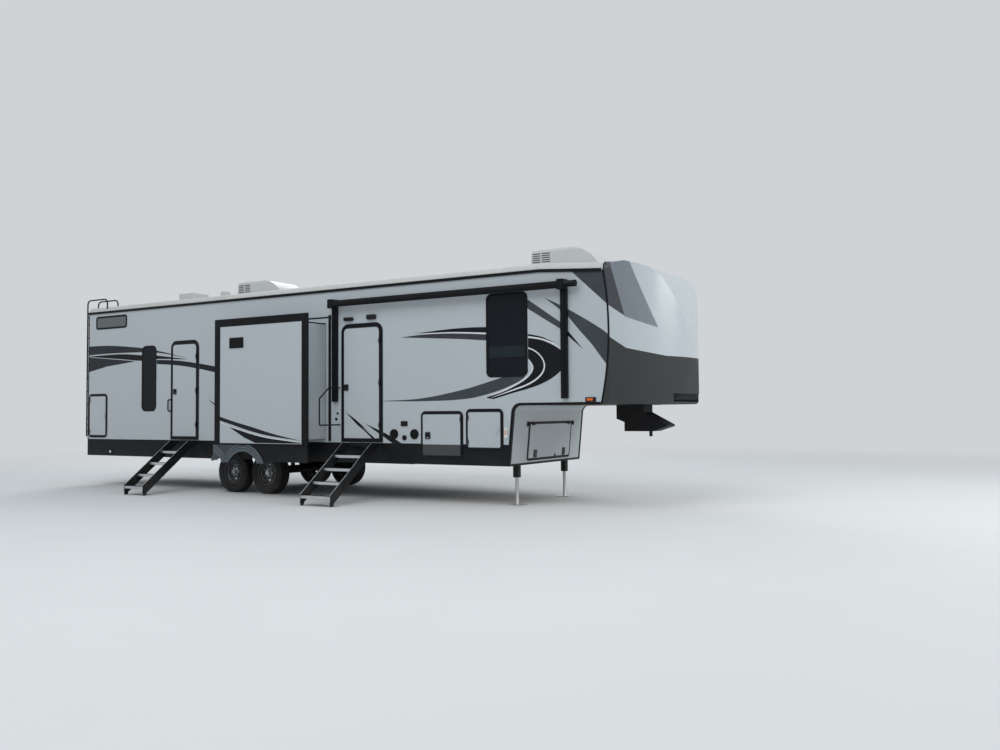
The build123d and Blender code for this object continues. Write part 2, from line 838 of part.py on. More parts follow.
# Planes of the bin door's hinges, along the top of the bulkhead's opening
bin_hinge_up = bin_door.z_high - baggage_frame_width - running_gap / 2
bin_hinges = [
    Plane(
        origin=bulkhead_face.from_local_coords(
            Vector(y, bin_hinge_up, frame_proud + leaf_proud + hinge_stand)
        ),
        x_dir=bulkhead_face.y_dir,
        z_dir=bulkhead_face.y_dir.cross(bulkhead_face.z_dir),
    )
    for y in (bin_door.x_low + bin_hinge_in, bin_door.x_high - bin_hinge_in)
]

# Frames of every door, each with the fixed half of its hinges
with BuildPart() as opening_frames:
    for leaf in leaves:
        add(wall_frame(leaf.opening, leaf.frame, leaf.side, square_foot=leaf.square_foot))
        for place in leaf_hinges(leaf):
            add(hinge_pin(place))
    with BuildSketch(bulkhead_face):
        add(ring(bin_door, 0, baggage_frame_width))
    extrude(amount=frame_proud)
    with BuildSketch(bulkhead_face):
        add(ring(bin_door, frame_lap + fit_gap, baggage_frame_width))
    extrude(amount=-baggage_leaf)
    for place in bin_hinges:
        add(hinge_pin(place))
keep(opening_frames.part, "opening_frames")

# Leaves of the side walls' doors
outer_y = half_width + frame_proud + leaf_proud
for leaf in leaves:
    with BuildPart() as panel:
        with BuildSketch(upright(leaf.side * outer_y)):
            add(rounded(leaf.opening, leaf.frame + running_gap, leaf.square_foot))
        extrude(amount=leaf.side * leaf.thickness)
        with BuildSketch(upright(leaf.side * outer_y)):
            with Locations((leaf.latch.x, leaf.latch.z)):
                RectangleRounded(leaf.latch.width, leaf.latch.height, latch_corner)
        extrude(amount=-leaf.side * latch_proud)
        for place in leaf_hinges(leaf):
            add(hinge_knuckle(place))
    keep(panel.part, leaf.opening.name)

# Bin door of the bulkhead
with BuildPart() as bin_panel:
    with BuildSketch(bulkhead_face.offset(frame_proud + leaf_proud)):
        add(rounded(bin_door, baggage_frame_width + running_gap))
    extrude(amount=-baggage_leaf)
    with BuildSketch(bulkhead_face.offset(frame_proud + leaf_proud)):
        for y in (bin_door.x_low + bin_latch_in, bin_door.x_high - bin_latch_in):
            with Locations((y, bin_door.z_low + bin_latch_up)):
                RectangleRounded(*bin_latch_size, latch_corner)
        lock_y, lock_up, lock_radius = bin_lock
        with Locations((lock_y, lock_up)):
            Circle(lock_radius)
    extrude(amount=latch_proud)
    for place in bin_hinges:
        add(hinge_knuckle(place))
keep(bin_panel.part, "bin_door")

# Fixed windows
with BuildPart() as window_frames:
    for side, openings in ((-1, curb_windows), (1, street_windows)):
        for opening in openings:
            add(wall_frame(opening, window_frame_width, side))
keep(window_frames.part, "window_frames")

with BuildPart() as window_glass:
    for side, openings in ((-1, curb_windows), (1, street_windows)):
        for opening in openings:
            add(pane(opening, side))
keep(window_glass.part, "window_glass")


# Slide-out rooms, drawn run out: each is a box open to the inside, behind a wide trim flange
def slide_front(travel):
    """Distance from the centreline to the front of a room's box and the back of its flange."""
    return half_width + running_gap + travel


def slide_room(slide_x, flange_x, side, travel, skin_foot_z, windows=()):
    """Room with its outer skin and the skids that carry it over the sill."""
    low, high = slide_x
    front = slide_front(travel)
    depth = front - half_width + wall + slide_inner_reach
    skin_x = (flange_x[0] + flange_bar, flange_x[1] - flange_bar)
    with BuildPart() as room:
        with BuildSketch(upright(side * front)):
            add(block(low, high, slide_floor_z, slide_top_z))
        extrude(amount=side * depth)
        with BuildSketch(upright(side * (front - slide_wall))):
            add(block(
                low + slide_wall,
                high - slide_wall,
                slide_floor_z + slide_wall,
                slide_top_z - slide_wall,
            ))
        extrude(amount=side * depth, mode=Mode.SUBTRACT)
        with BuildSketch(upright(side * front)):
            add(block(*skin_x, skin_foot_z, flange_top_z - flange_bar))
        extrude(amount=-side * slide_skin)
        for opening in windows:
            with BuildSketch(upright(side * (front + slide_skin))):
                add(rounded(opening, frame_lap))
            extrude(amount=side * (slide_skin + slide_wall), mode=Mode.SUBTRACT)
        with BuildSketch(upright(side * front)):
            for x in (low + slide_skid_in, high - slide_skid_in - slide_skid):
                add(block(x, x + slide_skid, floor_top_z + seat_gap, slide_floor_z))
        extrude(amount=side * depth)
    return room.part


def slide_trim(flange_x, side, travel, foot_z, sill):
    """Dark flange that closes against the wall when the room is in."""
    low, high = flange_x
    with BuildPart() as trim:
        with BuildSketch(upright(side * slide_front(travel))):
            add(block(low, high, foot_z, flange_top_z))
            add(
                block(low + flange_bar, high - flange_bar, foot_z + sill, flange_top_z - flange_bar),
                mode=Mode.SUBTRACT,
            )
        extrude(amount=-side * slide_flange)
    return trim.part


curb_skin_foot_z = curb_flange_foot_z + curb_sill
curb_room = slide_room(curb_slide_x, curb_flange_x, -1, curb_slide_travel, curb_skin_foot_z)
keep(curb_room, "curb_slide_room")

with BuildPart() as curb_trim:
    add(slide_trim(curb_flange_x, -1, curb_slide_travel, curb_flange_foot_z, curb_sill))
    vent_plane = upright(-slide_front(curb_slide_travel) - slide_skin)
    with BuildSketch(vent_plane):
        add(block(*slide_vent))
    extrude(amount=slide_vent_proud)
    with BuildSketch(vent_plane.offset(slide_vent_proud)):
        x_low, x_high, z_low, z_high = slide_vent
        add(louvre(x_low + slide_vent_rim, x_high - slide_vent_rim, z_low, z_high, slide_vent_slots))
    extrude(amount=-slide_vent_slot_depth, mode=Mode.SUBTRACT)
keep(curb_trim.part, "curb_slide_trim")

street_skin_foot_z = street_flange_foot_z + street_sill
street_room = slide_room(
    street_slide_x, street_flange_x, 1, street_slide_travel, street_skin_foot_z, street_slide_windows
)
keep(street_room, "street_slide_room")
street_trim = slide_trim(street_flange_x, 1, street_slide_travel, street_flange_foot_z, street_sill)
keep(street_trim, "street_slide_trim")

with BuildSketch(Plane.XY) as slide_fender:
    add(fender_face())
    add(block(*curb_flange_x, 0, eaves_z), mode=Mode.INTERSECT)

with BuildPart() as curb_slide_skirt:
    with BuildSketch(upright(-slide_front(curb_slide_travel))):
        add(block(*curb_flange_x, skirt_foot_z, curb_flange_foot_z))
        add(arches(arch_radius), mode=Mode.SUBTRACT)
    extrude(amount=slide_flange)
    with BuildSketch(upright(-slide_front(curb_slide_travel) - slide_flange)):
        add(slide_fender.sketch)
    extrude(amount=fender_proud)
    with BuildSketch(upright(-slide_front(curb_slide_travel) - slide_flange - fender_proud)):
        add(groove_bands())
    extrude(amount=-fender_groove_depth, mode=Mode.SUBTRACT)
keep(curb_slide_skirt.part, "curb_slide_skirt")

street_face = slide_front(street_slide_travel) + slide_skin
with BuildPart() as street_slide_frames:
    for opening in street_slide_windows:
        add(wall_frame(opening, window_frame_width, 1, street_face, slide_skin + slide_wall))
keep(street_slide_frames.part, "street_slide_frames")

with BuildPart() as street_slide_glass:
    for opening in street_slide_windows:
        add(pane(opening, 1, street_face))
keep(street_slide_glass.part, "street_slide_glass")

# Chassis: two I-beams, cross members and the rear bumper
rail_height = floor_top_z - floor_thickness - rail_foot_z
with BuildPart() as chassis_frame:
    for side in (-1, 1):
        with BuildSketch(across(-bumper_gap)):
            with Locations((side * rail_y, rail_foot_z)):
                Rectangle(rail_width, rail_height, align=(Align.CENTER, Align.MIN))
            for face in (-1, 1):
                pocket = (rail_width - rail_web) / 2
                with Locations((side * rail_y + face * rail_width / 2, rail_foot_z + rail_height / 2)):
                    Rectangle(2 * pocket, rail_height - 2 * rail_web, mode=Mode.SUBTRACT)
        extrude(amount=bay_x + bumper_gap)
    for x in cross_member_x:
        with BuildSketch(upright(rail_y)):
            with Locations((x, rail_foot_z + rail_height / 2)):
                Rectangle(rail_width, rail_height / 2)
        extrude(amount=2 * rail_y)
    with BuildSketch(upright(bumper_half_width)):
        with Locations((-bumper_gap - bumper_size / 2, rail_foot_z + bumper_size)):
            Rectangle(bumper_size, bumper_size)
    extrude(amount=2 * bumper_half_width)
keep(chassis_frame.part, "chassis_frame")

# Underbelly sheet, open round the wheels
with BuildPart() as underbelly:
    with BuildSketch(level(skirt_foot_z - belly_sheet)):
        add(block(0, bay_x, -half_width, half_width))
        for side in (-1, 1):
            y_low, y_high = sorted((side * wheel_well_y, side * 2 * half_width))
            add(block(*wheel_well_x, y_low, y_high), mode=Mode.SUBTRACT)
    extrude(amount=belly_sheet)
keep(underbelly.part, "underbelly")


# Running gear
def wheel_plane(x, side):
    """Plane through an axle: sketch x is the distance from the centreline, sketch y the radius."""
    return Plane(origin=(rear_wall_x + x, 0, tyre_radius), x_dir=(0, side, 0), z_dir=(side, 0, 0))


def wheel_axis(x):
    """Line that a wheel turns about."""
    return Axis((rear_wall_x + x, 0, tyre_radius), (0, 1, 0))


axle_x = (axle_mid_x - axle_spacing / 2, axle_mid_x + axle_spacing / 2)
spring_centre_z = spring_top_z + spring_radius

with BuildPart() as axles:
    for x in axle_x:
        with BuildSketch(wheel_plane(x, 1)):
            add(block(-spindle_half_length, spindle_half_length, 0, spindle_radius))
            add(block(-axle_half_length, axle_half_length, 0, axle_radius))
            for y in (-axle_half_length, axle_half_length - backing_plate):
                add(block(y, y + backing_plate, 0, backing_plate_radius))
        revolve(axis=wheel_axis(x))
        seat_z = spring_top_z - len(spring_half_lengths) * spring_leaf
        for y in (-spring_y, spring_y):
            with Locations((rear_wall_x + x, y, (tyre_radius + seat_z) / 2)):
                Box(seat_length, 2 * hanger_half_width, seat_z - tyre_radius)
keep(axles.part, "axles")


def spring_band(x, inner_radius, half_length):
    """One leaf of a spring, bowed down over the axle at x."""
    outer_radius = inner_radius + spring_leaf
    inner_z = spring_centre_z - (inner_radius**2 - half_length**2) ** 0.5
    outer_z = spring_centre_z - (outer_radius**2 - half_length**2) ** 0.5
    with BuildSketch(Plane.XY) as band:
        with BuildLine():
            ThreePointArc(
                (x - half_length, inner_z),
                (x, spring_centre_z - inner_radius),
                (x + half_length, inner_z),
            )
            Line((x + half_length, inner_z), (x + half_length, outer_z))
            ThreePointArc(
                (x + half_length, outer_z),
                (x, spring_centre_z - outer_radius),
                (x - half_length, outer_z),
            )
            Line((x - half_length, outer_z), (x - half_length, inner_z))
        make_face()
    return band.sketch


with BuildPart() as leaf_springs:
    for y in (-spring_y, spring_y):
        with BuildSketch(upright(y + spring_width / 2)):
            for x in axle_x:
                for count, half_length in enumerate(spring_half_lengths):
                    add(spring_band(x, spring_radius + count * spring_leaf, half_length))
            rocker = (axle_x[0] + spring_half_lengths[0], axle_x[1] - spring_half_lengths[0])
            add(block(*rocker, spring_eye_z - hanger_half_length, spring_eye_z + hanger_half_length))
        extrude(amount=spring_width)
        with BuildSketch(upright(y + hanger_half_width)):
            hanger_foot_z = spring_eye_z - hanger_half_length
            ends = (axle_x[0] - spring_half_lengths[0], axle_mid_x, axle_x[1] + spring_half_lengths[0])
            for x in ends:
                add(block(x - hanger_half_length, x + hanger_half_length, hanger_foot_z, rail_foot_z))
        extrude(amount=2 * hanger_half_width)
keep(leaf_springs.part, "leaf_springs")

Wheel = namedtuple("Wheel", "name x side")
wheels = [
    Wheel("curb_rear", axle_x[0], -1),
    Wheel("curb_front", axle_x[1], -1),
    Wheel("street_rear", axle_x[0], 1),
    Wheel("street_front", axle_x[1], 1),
]
tyre_mid_y = wheel_face_y - tyre_width / 2

for wheel in wheels:
    plane = wheel_plane(wheel.x, wheel.side)
    with BuildPart() as tyre:
        with BuildSketch(plane):
            outside = [(tyre_mid_y + half, radius) for half, radius in tyre_outside]
            outside += [(tyre_mid_y - half, radius) for half, radius in reversed(tyre_outside)]
            inside = [(tyre_mid_y - half, radius) for half, radius in reversed(tyre_inside)]
            inside += [(tyre_mid_y + half, radius) for half, radius in tyre_inside]
            add(outline(*outside, *inside))
        revolve(axis=wheel_axis(wheel.x))
    keep(tyre.part, "tyre_" + wheel.name)

    with BuildPart() as rim:
        with BuildSketch(plane):
            add(outline(*[(tyre_mid_y + offset, radius) for offset, radius in rim_barrel]))
            add(block(*disc_y, hub_radius - drum_wall, rim_barrel[-3][1] + drum_wall / 2))
            add(block(*hub_y, spindle_radius + bearing_gap, hub_radius))
            add(block(hub_y[1], hub_cap_y, 0, hub_radius - 2 * drum_wall))
            add(block(hub_y[0], drum_y, backing_plate_radius - drum_wall, backing_plate_radius))
            add(block(drum_y - drum_wall, drum_y, hub_radius - drum_wall, backing_plate_radius))
        revolve(axis=wheel_axis(wheel.x))
        disc = Plane(
            origin=(rear_wall_x + wheel.x, wheel.side * disc_y[1], tyre_radius),
            x_dir=(1, 0, 0),
            z_dir=(0, wheel.side, 0),
        )
        with BuildSketch(disc):
            with PolarLocations(hand_hole_pitch, hand_holes):
                Circle(hand_hole_radius)
        extrude(amount=-2 * drum_wall, mode=Mode.SUBTRACT)
        with BuildSketch(disc):
            with PolarLocations(lug_pitch, lugs):
                RegularPolygon(lug_radius, 6)
        extrude(amount=2 * lug_radius)
    keep(rim.part, "rim_" + wheel.name)

# Landing legs, run down to the ground
with BuildPart() as landing_legs:
    for y in (-leg_y, leg_y):
        with BuildSketch(level(0)):
            with Locations((leg_x, y)):
                Rectangle(leg_pad, leg_pad)
        extrude(amount=leg_pad_thickness)
        with BuildSketch(level(leg_pad_thickness)):
            with Locations((leg_x, y)):
                Circle(leg_rod_radius)
        extrude(amount=leg_tube_foot_z - leg_pad_thickness)
        with BuildSketch(level(leg_tube_foot_z)):
            with Locations((leg_x, y)):
                Rectangle(leg_tube_width, leg_tube_width)
        extrude(amount=skirt_foot_z - leg_tube_foot_z)
keep(landing_legs.part, "landing_legs")

# Pin box and king pin
with BuildPart() as pin_box:
    with BuildSketch(upright(pin_box_half_width)):
        add(outline(*pin_box_side))
    extrude(amount=2 * pin_box_half_width)
    with BuildSketch(upright(pin_box_half_width - pin_box_plate)):
        add(outline(*pin_box_side))
        offset(amount=-pin_box_plate, kind=Kind.INTERSECTION, mode=Mode.REPLACE)
        rear_x = pin_box_side[0][0]
        add(block(rear_x - 2 * pin_box_plate, rear_x + wall, neck_z - 150, neck_z - 2 * pin_box_plate))
    extrude(amount=2 * (pin_box_half_width - pin_box_plate), mode=Mode.SUBTRACT)
    with BuildSketch(level(pin_plate_z - pin_length)):
        with Locations((pin_x, 0)):
            Circle(pin_radius)
    extrude(amount=pin_length)
keep(pin_box.part, "pin_box")

# Entry steps: one flight for each entry door
with BuildPart() as entry_steps:
    for flight in flights:
        low_x = flight.middle_x - flight.half_width
        bar_out, bar_foot_z, bar_top_z = step_bar
        for x in (low_x - step_plate, low_x + 2 * flight.half_width):
            with BuildSketch(across(x)):
                add(outline(*[(-half_width - out, z) for out, z in step_side]))
                add(outline(*[(-half_width - out, z) for out, z in step_foot]))
            extrude(amount=step_plate)
        with BuildSketch(across(low_x - step_plate)):
            add(block(-half_width - bar_out, -half_width, bar_foot_z, bar_top_z))
        extrude(amount=2 * (flight.half_width + step_plate))
        for count in range(tread_count):
            nose_out = half_width + top_tread_out + count * tread_run
            top_z = top_tread_z - count * tread_rise
            with BuildSketch(across(low_x)):
                add(block(-nose_out, tread_depth - nose_out, top_z - tread_thickness, top_z))
            extrude(amount=2 * flight.half_width)
keep(entry_steps.part, "entry_steps")

# Awning, rolled up between two arms on the curb side
with BuildPart() as awning_arms:
    for x in awning_arm_x:
        with BuildSketch(across(x - awning_arm_width / 2)):
            out = half_width + awning_arm_depth
            head_out = awning_y + awning_radius
            add(block(-out, -half_width, awning_arm_foot_z, awning_arm_top_z))
            add(block(-head_out, -half_width, awning_z - awning_head, awning_z + awning_head))
        extrude(amount=awning_arm_width)
    with BuildSketch(across(awning_arm_x[1] + awning_arm_width / 2)):
        with Locations((-awning_y, awning_z)):
            Circle(awning_end_radius)
    extrude(amount=awning_end)
keep(awning_arms.part, "awning_arms")

with BuildPart() as awning_roller:
    roller_x = awning_arm_x[0] + awning_arm_width / 2
    with BuildSketch(across(roller_x)):
        with Locations((-awning_y, awning_z)):
            Circle(awning_radius)
    extrude(amount=awning_arm_x[1] - awning_arm_width / 2 - roller_x)
keep(awning_roller.part, "awning_roller")

def ac_cover(rear_x):
    """Cover of an air conditioner: a side profile with its section's shoulders rounded off."""
    front_x = rear_x + ac_length
    shoulder = (rear_x + 0.62 * ac_length, ac_top_z - 0.05 * ac_rise)
    with BuildPart() as cover:
        with BuildSketch(upright(ac_half_width)):
            with BuildLine():
                Polyline((front_x, ac_top_z - ac_rise), (front_x, eaves_z), (rear_x, eaves_z),
                         (rear_x + 0.04 * ac_length, ac_top_z - 0.08 * ac_rise))
                ThreePointArc(
                    (rear_x + 0.04 * ac_length, ac_top_z - 0.08 * ac_rise),
                    (rear_x + 0.34 * ac_length, ac_top_z),
                    shoulder,
                )
                ThreePointArc(
                    shoulder,
                    (rear_x + 0.84 * ac_length, ac_top_z - 0.36 * ac_rise),
                    (front_x, ac_top_z - ac_rise),
                )
            make_face()
        extrude(amount=2 * ac_half_width)
        with BuildSketch(across(rear_x)):
            with Locations((0, ac_top_z - ac_rise)):
                RectangleRounded(2 * ac_half_width, 2 * ac_rise, ac_corner)
        extrude(amount=ac_length, mode=Mode.INTERSECT)
    return cover.part


# Roof equipment, seated on the bowed roof; the grilles are cut in the covers' sides
with BuildPart() as roof_air_conditioners:
    for rear_x in ac_rear_x:
        add(ac_cover(rear_x))
        for side in (-1, 1):
            with BuildSketch(upright(side * ac_half_width)):
                for low, high in ac_grilles:
                    grille_top_z = ac_top_z - ac_corner
                    grille_foot_z = grille_top_z - ac_grille_slots * ac_slot_pitch
                    add(louvre(rear_x + low, rear_x + high, grille_foot_z, grille_top_z, ac_grille_slots))
            extrude(amount=side * ac_slot_depth, mode=Mode.SUBTRACT)
    add(roof.part, mode=Mode.SUBTRACT)
keep(roof_air_conditioners.part, "roof_air_conditioners")

with BuildPart() as roof_vents:
    for item in roof_fixtures:
        with BuildSketch(level(eaves_z)):
            add(block(item.x_low, item.x_high, item.y_low, item.y_high))
        extrude(amount=item.top_z - eaves_z)
    add(roof.part, mode=Mode.SUBTRACT)
keep(roof_vents.part, "roof_vents")


def tube(points, radius, bend):
    """Round tube through these points, with bends of this radius."""
    with BuildPart() as run:
        with BuildLine() as path:
            FilletPolyline(*points, radius=bend)
        with BuildSketch(Plane(origin=path.line @ 0, z_dir=path.line % 0)):
            Circle(radius)
        sweep(path=path.line)
    return run.part


# Rear ladder, its hoops coming down on the roof
with BuildPart() as rear_ladder:
    for y in ladder_y:
        x = rear_wall_x - ladder_out
        add(tube(
            [
                (x, y, ladder_foot_z),
                (x, y, ladder_hoop_z),
                (x + ladder_reach, y, ladder_hoop_z),
                (x + ladder_reach, y, eaves_z),
            ],
            ladder_tube,
            ladder_bend,
        ))
        for z in ladder_stay_z:
            with BuildSketch(across(0)):
                with Locations((y, z)):
                    Circle(ladder_tube - 2)
            extrude(amount=-ladder_out)
    for z in rung_z:
        with BuildSketch(upright(ladder_y[1])):
            with Locations((-ladder_out, z)):
                Circle(rung_radius)
        extrude(amount=ladder_y[1] - ladder_y[0])
    add(roof.part, mode=Mode.SUBTRACT)
keep(rear_ladder.part, "rear_ladder")

# Handles beside the entry doors
with BuildPart() as entry_handles:
    for x, corners in ((assist_handle_x, assist_handle), (grab_handle_x, grab_handle)):
        path = [(rear_wall_x + x, -half_width - out, z) for out, z in corners]
        add(tube(path, handle_tube, handle_bend))
keep(entry_handles.part, "entry_handles")


def plates(table, corner):
    """Raised plates on the side walls, with rounded corners."""
    with BuildPart() as pieces:
        for item in table:
            with BuildSketch(upright(item.side * half_width)):
                with Locations(((item.x_low + item.x_high) / 2, (item.z_low + item.z_high) / 2)):
                    RectangleRounded(item.x_high - item.x_low, item.z_high - item.z_low, corner)
            extrude(amount=-item.side * item.proud)
    return pieces.part


with BuildPart() as lamps:
    add(plates(side_lamps, lamp_corner))
    y_low, y_high, z_low, z_high, proud = tail_lamp
    for side in (-1, 1):
        with BuildSketch(across(0)):
            low, high = sorted((side * y_low, side * y_high))
            add(block(low, high, z_low, z_high))
        extrude(amount=-proud)
keep(lamps.part, "lamps")

# Covers, speakers, ports and locks on the side walls
with BuildPart() as side_fittings:
    add(plates(side_plates, plate_corner))
    for item in curb_rounds:
        with BuildSketch(upright(-half_width)):
            with Locations((item.x, item.z)):
                Circle(item.radius)
        extrude(amount=item.proud)
keep(side_fittings.part, "side_fittings")
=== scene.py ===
import bpy
import bmesh
from math import acos, asin, atan2, cos, pi, radians, sin
from mathutils import Matrix, Vector
from mathutils.geometry import tessellate_polygon


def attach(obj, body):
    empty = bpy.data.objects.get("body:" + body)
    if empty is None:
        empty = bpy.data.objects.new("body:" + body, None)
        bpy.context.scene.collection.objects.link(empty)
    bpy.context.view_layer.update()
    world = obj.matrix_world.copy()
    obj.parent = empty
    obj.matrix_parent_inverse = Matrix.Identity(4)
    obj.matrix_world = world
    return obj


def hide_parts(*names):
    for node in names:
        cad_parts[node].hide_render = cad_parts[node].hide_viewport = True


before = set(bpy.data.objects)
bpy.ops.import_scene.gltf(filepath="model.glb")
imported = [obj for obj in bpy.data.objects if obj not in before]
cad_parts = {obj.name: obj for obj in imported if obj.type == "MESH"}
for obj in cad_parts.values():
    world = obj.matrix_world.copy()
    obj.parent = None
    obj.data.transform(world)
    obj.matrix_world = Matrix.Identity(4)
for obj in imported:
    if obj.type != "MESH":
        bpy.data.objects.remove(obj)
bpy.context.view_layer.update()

# Metres; X forward, Y to the street side, Z up. Places called ahead are measured from the rear wall.
REAR = -6.29
BODY = "caravan_body"
# Half the width of a painted edge, and how far a thing stands off a face to count as proud of it
HAIR = 0.0004
PROUD = 0.0008
# Doors' leaves: the black border, how much less of it there is along the edge with the low ahead, and how far
# from that edge the hinges reach
LEAF_BORDER = 0.02
LEAF_BORDER_LESS = 0.014
HINGES_REACH = 0.1
AXLES = (4.21, 5.07)
MIDWAY = 4.64
AXLE_Z = 0.38
WHEELS = {flank + "_" + end: (ahead, side) for flank, side in (("curb", -1), ("street", 1))
          for end, ahead in zip(("rear", "front"), AXLES)}
# Faces, from the centreline: side walls, their doors' leaves, latches, rims, the curb slide-out's panel and flange
HALF = 1.22
LEAF = 1.232
LATCH = LEAF + 0.012
RIM = 1.1
PANEL = 1.73
FLANGE = 1.736
# Slide-outs: side and travel, or else side and face of the flange, with the ends ahead
ROOMS = {"curb_slide": (-1, 0.48, (4.42, 6.5)), "street_slide": (1, 1.067, (4.1, 8.2))}
FLANGES = {"curb_slide": (-1, FLANGE, (4.34, 6.56)), "street_slide": (1, 2.323, (4.02, 8.28))}
# Bulkhead: its foot, ahead and Z, its lean, and how far the bin door's leaf stands off it
FOOT_X, FOOT_Z = 10.15, 0.62
LEAN = atan2(0.08, 0.81)
BIN_FACE = 0.012
# Air conditioners' covers: their rear ends ahead. Landing legs: ahead and out. Chassis rails: out
COVERS = (3.413, 10.053)
LEG_X, LEG_Y = 10.06, 0.82
RAIL_Y = 0.85
ENTRY_DOORS = ("main_door", "rear_door")
scene = bpy.context.scene

# Colours
PALE = (0.43, 0.475, 0.495)
CHARCOAL = (0.046, 0.049, 0.05)
SLATE = (0.041, 0.045, 0.053)
ASH = (0.17, 0.19, 0.215)
MOSS = (0.048, 0.057, 0.062)
SOOT = (0.036, 0.039, 0.042)
INK = (0.0075, 0.0085, 0.0105)
NIGHT = (0.013, 0.016, 0.02)
SHADE = (0.024, 0.029, 0.033)
TRIM = (0.0058, 0.0066, 0.0082)
SKIRT = (0.0078, 0.0086, 0.0104)
FENDER = (0.052, 0.066, 0.075)
BLACK = (0.012, 0.012, 0.013)
ROOFING = (0.52, 0.53, 0.52)
GLASS = (0.0038, 0.0062, 0.0092)
SILVER = (0.68, 0.7, 0.72)
AMBER = (0.7, 0.13, 0.015)
RED = (0.42, 0.008, 0.008)
PEACH = (0.62, 0.36, 0.2)
HAZE = (0.63, 0.65, 0.67)


def tint(colour, factor, lift=0.0):
    return tuple(c * factor + lift for c in colour)


# Node trees
class Nodes:
    """A node tree under construction."""

    def __init__(self, tree):
        self.tree = tree

    def feed(self, item, socket, value):
        """Give an input a link, or else a plain value."""
        if isinstance(value, bpy.types.NodeSocket):
            self.tree.links.new(value, item.inputs[socket])
        else:
            item.inputs[socket].default_value = value

    def node(self, kind, inputs=None, **settings):
        item = self.tree.nodes.new(kind)
        for key, value in settings.items():
            setattr(item, key, value)
        for socket, value in (inputs or {}).items():
            self.feed(item, socket, value)
        return item

    def math(self, operation, a, b=0.0):
        return self.node("ShaderNodeMath", {0: a, 1: b}, operation=operation).outputs[0]

    def minus(self, a, b):
        return self.math("SUBTRACT", a, b)

    def chain(self, operation, values):
        """One operation over several values in turn."""
        found, *rest = values
        for value in rest:
            found = self.math(operation, found, value)
        return found

    def show(self, factor, low, high, output):
        """Show one shader where the factor is 0 and another where it is 1."""
        mixer = self.node("ShaderNodeMixShader", {0: factor, 1: low, 2: high})
        self.feed(self.tree.nodes[output], "Surface", mixer.outputs[0])


class Paint(Nodes):
    """A node material under construction."""

    def __init__(self, name, colour, rough=0.4, metal=0.0, specular=0.5):
        self.material = bpy.data.materials.new(name)
        self.material.use_nodes = True
        super().__init__(self.material.node_tree)
        self.shader = self.tree.nodes["Principled BSDF"]
        self.tone = (*colour, 1)
        self.normal = None
        self.surface("Base Color", self.tone)
        self.surface("Roughness", rough)
        self.surface("Metallic", metal)
        self.surface("Specular IOR Level", specular)
        self.coords = self.node("ShaderNodeTexCoord").outputs["Object"]
        self.split = self.node("ShaderNodeSeparateXYZ", {0: self.coords})

    def surface(self, socket, value):
        """Give the surface shader an input."""
        self.feed(self.shader, socket, value)

    def noise(self, scale, detail=4.0, stretch=(1, 1, 1)):
        """Noise over the object's own coordinates."""
        spread = self.node("ShaderNodeMapping", {"Scale": stretch, "Vector": self.coords}).outputs[0]
        return self.node("ShaderNodeTexNoise", {"Scale": scale, "Detail": detail, "Vector": spread}).outputs["Fac"]

    def axis(self, name):
        """One object coordinate, in metres."""
        return self.split.outputs[name]

    def ahead(self):
        """Distance ahead of the rear wall."""
        return self.minus(self.axis("X"), REAR)

    def out(self):
        """Distance from the centreline, to either side."""
        return self.math("ABSOLUTE", self.axis("Y"))

    def off(self, value, place):
        """Distance of a value from a place, to either side."""
        return self.math("ABSOLUTE", self.minus(value, place))

    def diagonal(self, a, b):
        return self.math("SQRT", self.math("ADD", self.both(a, a), self.both(b, b)))

    def ramp(self, value, low, high):
        """0 below low, 1 above high."""
        return self.node("ShaderNodeMapRange", {"From Min": low, "From Max": high, "Value": value}).outputs[0]

    def inverse(self, value):
        return self.minus(1.0, value)

    def over(self, value, edge):
        """1 above the edge, 0 below it, with a step a hair wide."""
        return self.ramp(value, edge - HAIR, edge + HAIR)

    def under(self, value, edge):
        return self.inverse(self.over(value, edge))

    def both(self, *masks):
        return self.chain("MULTIPLY", masks)

    def least(self, values):
        return self.chain("MINIMUM", values)

    def within(self, a, low_a, high_a, b, low_b, high_b):
        """1 inside a rectangle of two coordinates."""
        return self.both(self.over(a, low_a), self.under(a, high_a), self.over(b, low_b), self.under(b, high_b))

    def beyond_round(self, low_x, high_x, low_z, high_z, radius):
        """Distance outside a rounded rectangle of ahead and Z, negative inside it."""
        reach = []
        for value, low, high in ((self.ahead(), low_x, high_x), (self.axis("Z"), low_z, high_z)):
            off = self.off(value, (low + high) / 2)
            reach.append(self.math("MAXIMUM", self.minus(off, (high - low) / 2 - radius)))
        return self.minus(self.diagonal(*reach), radius)

    def blend(self, factor, colour):
        """Paint another colour over what is there, by factor."""
        item = self.node("ShaderNodeMix", {0: factor, 6: self.tone, 7: (*colour, 1)}, data_type="RGBA")
        self.tone = item.outputs[2]
        self.surface("Base Color", self.tone)

    def mottle(self, scale, amount, colour, stretch=(1, 1, 1)):
        """Uneven tone: another colour in soft patches."""
        patches = self.ramp(self.noise(scale, 5, stretch), 0.42, 0.72)
        self.blend(self.both(patches, amount), colour)

    def rough_noise(self, scale, low, high):
        item = self.node("ShaderNodeMapRange", {"To Min": low, "To Max": high, "Value": self.noise(scale)})
        self.surface("Roughness", item.outputs[0])

    def bump(self, height, strength, distance=0.001):
        item = self.node("ShaderNodeBump", {"Strength": strength, "Distance": distance, "Height": height})
        if self.normal is not None:
            self.feed(item, "Normal", self.normal)
        self.normal = item.outputs[0]
        self.surface("Normal", self.normal)

    def dust(self, top_z, amount, colour=(0.36, 0.34, 0.31)):
        """Road dust that fades out above top_z."""
        low = self.ramp(self.axis("Z"), top_z, 0.15)
        streaks = self.ramp(self.noise(2.2, 6, (1, 1, 0.25)), 0.3, 0.75)
        self.blend(self.both(low, streaks, amount), colour)


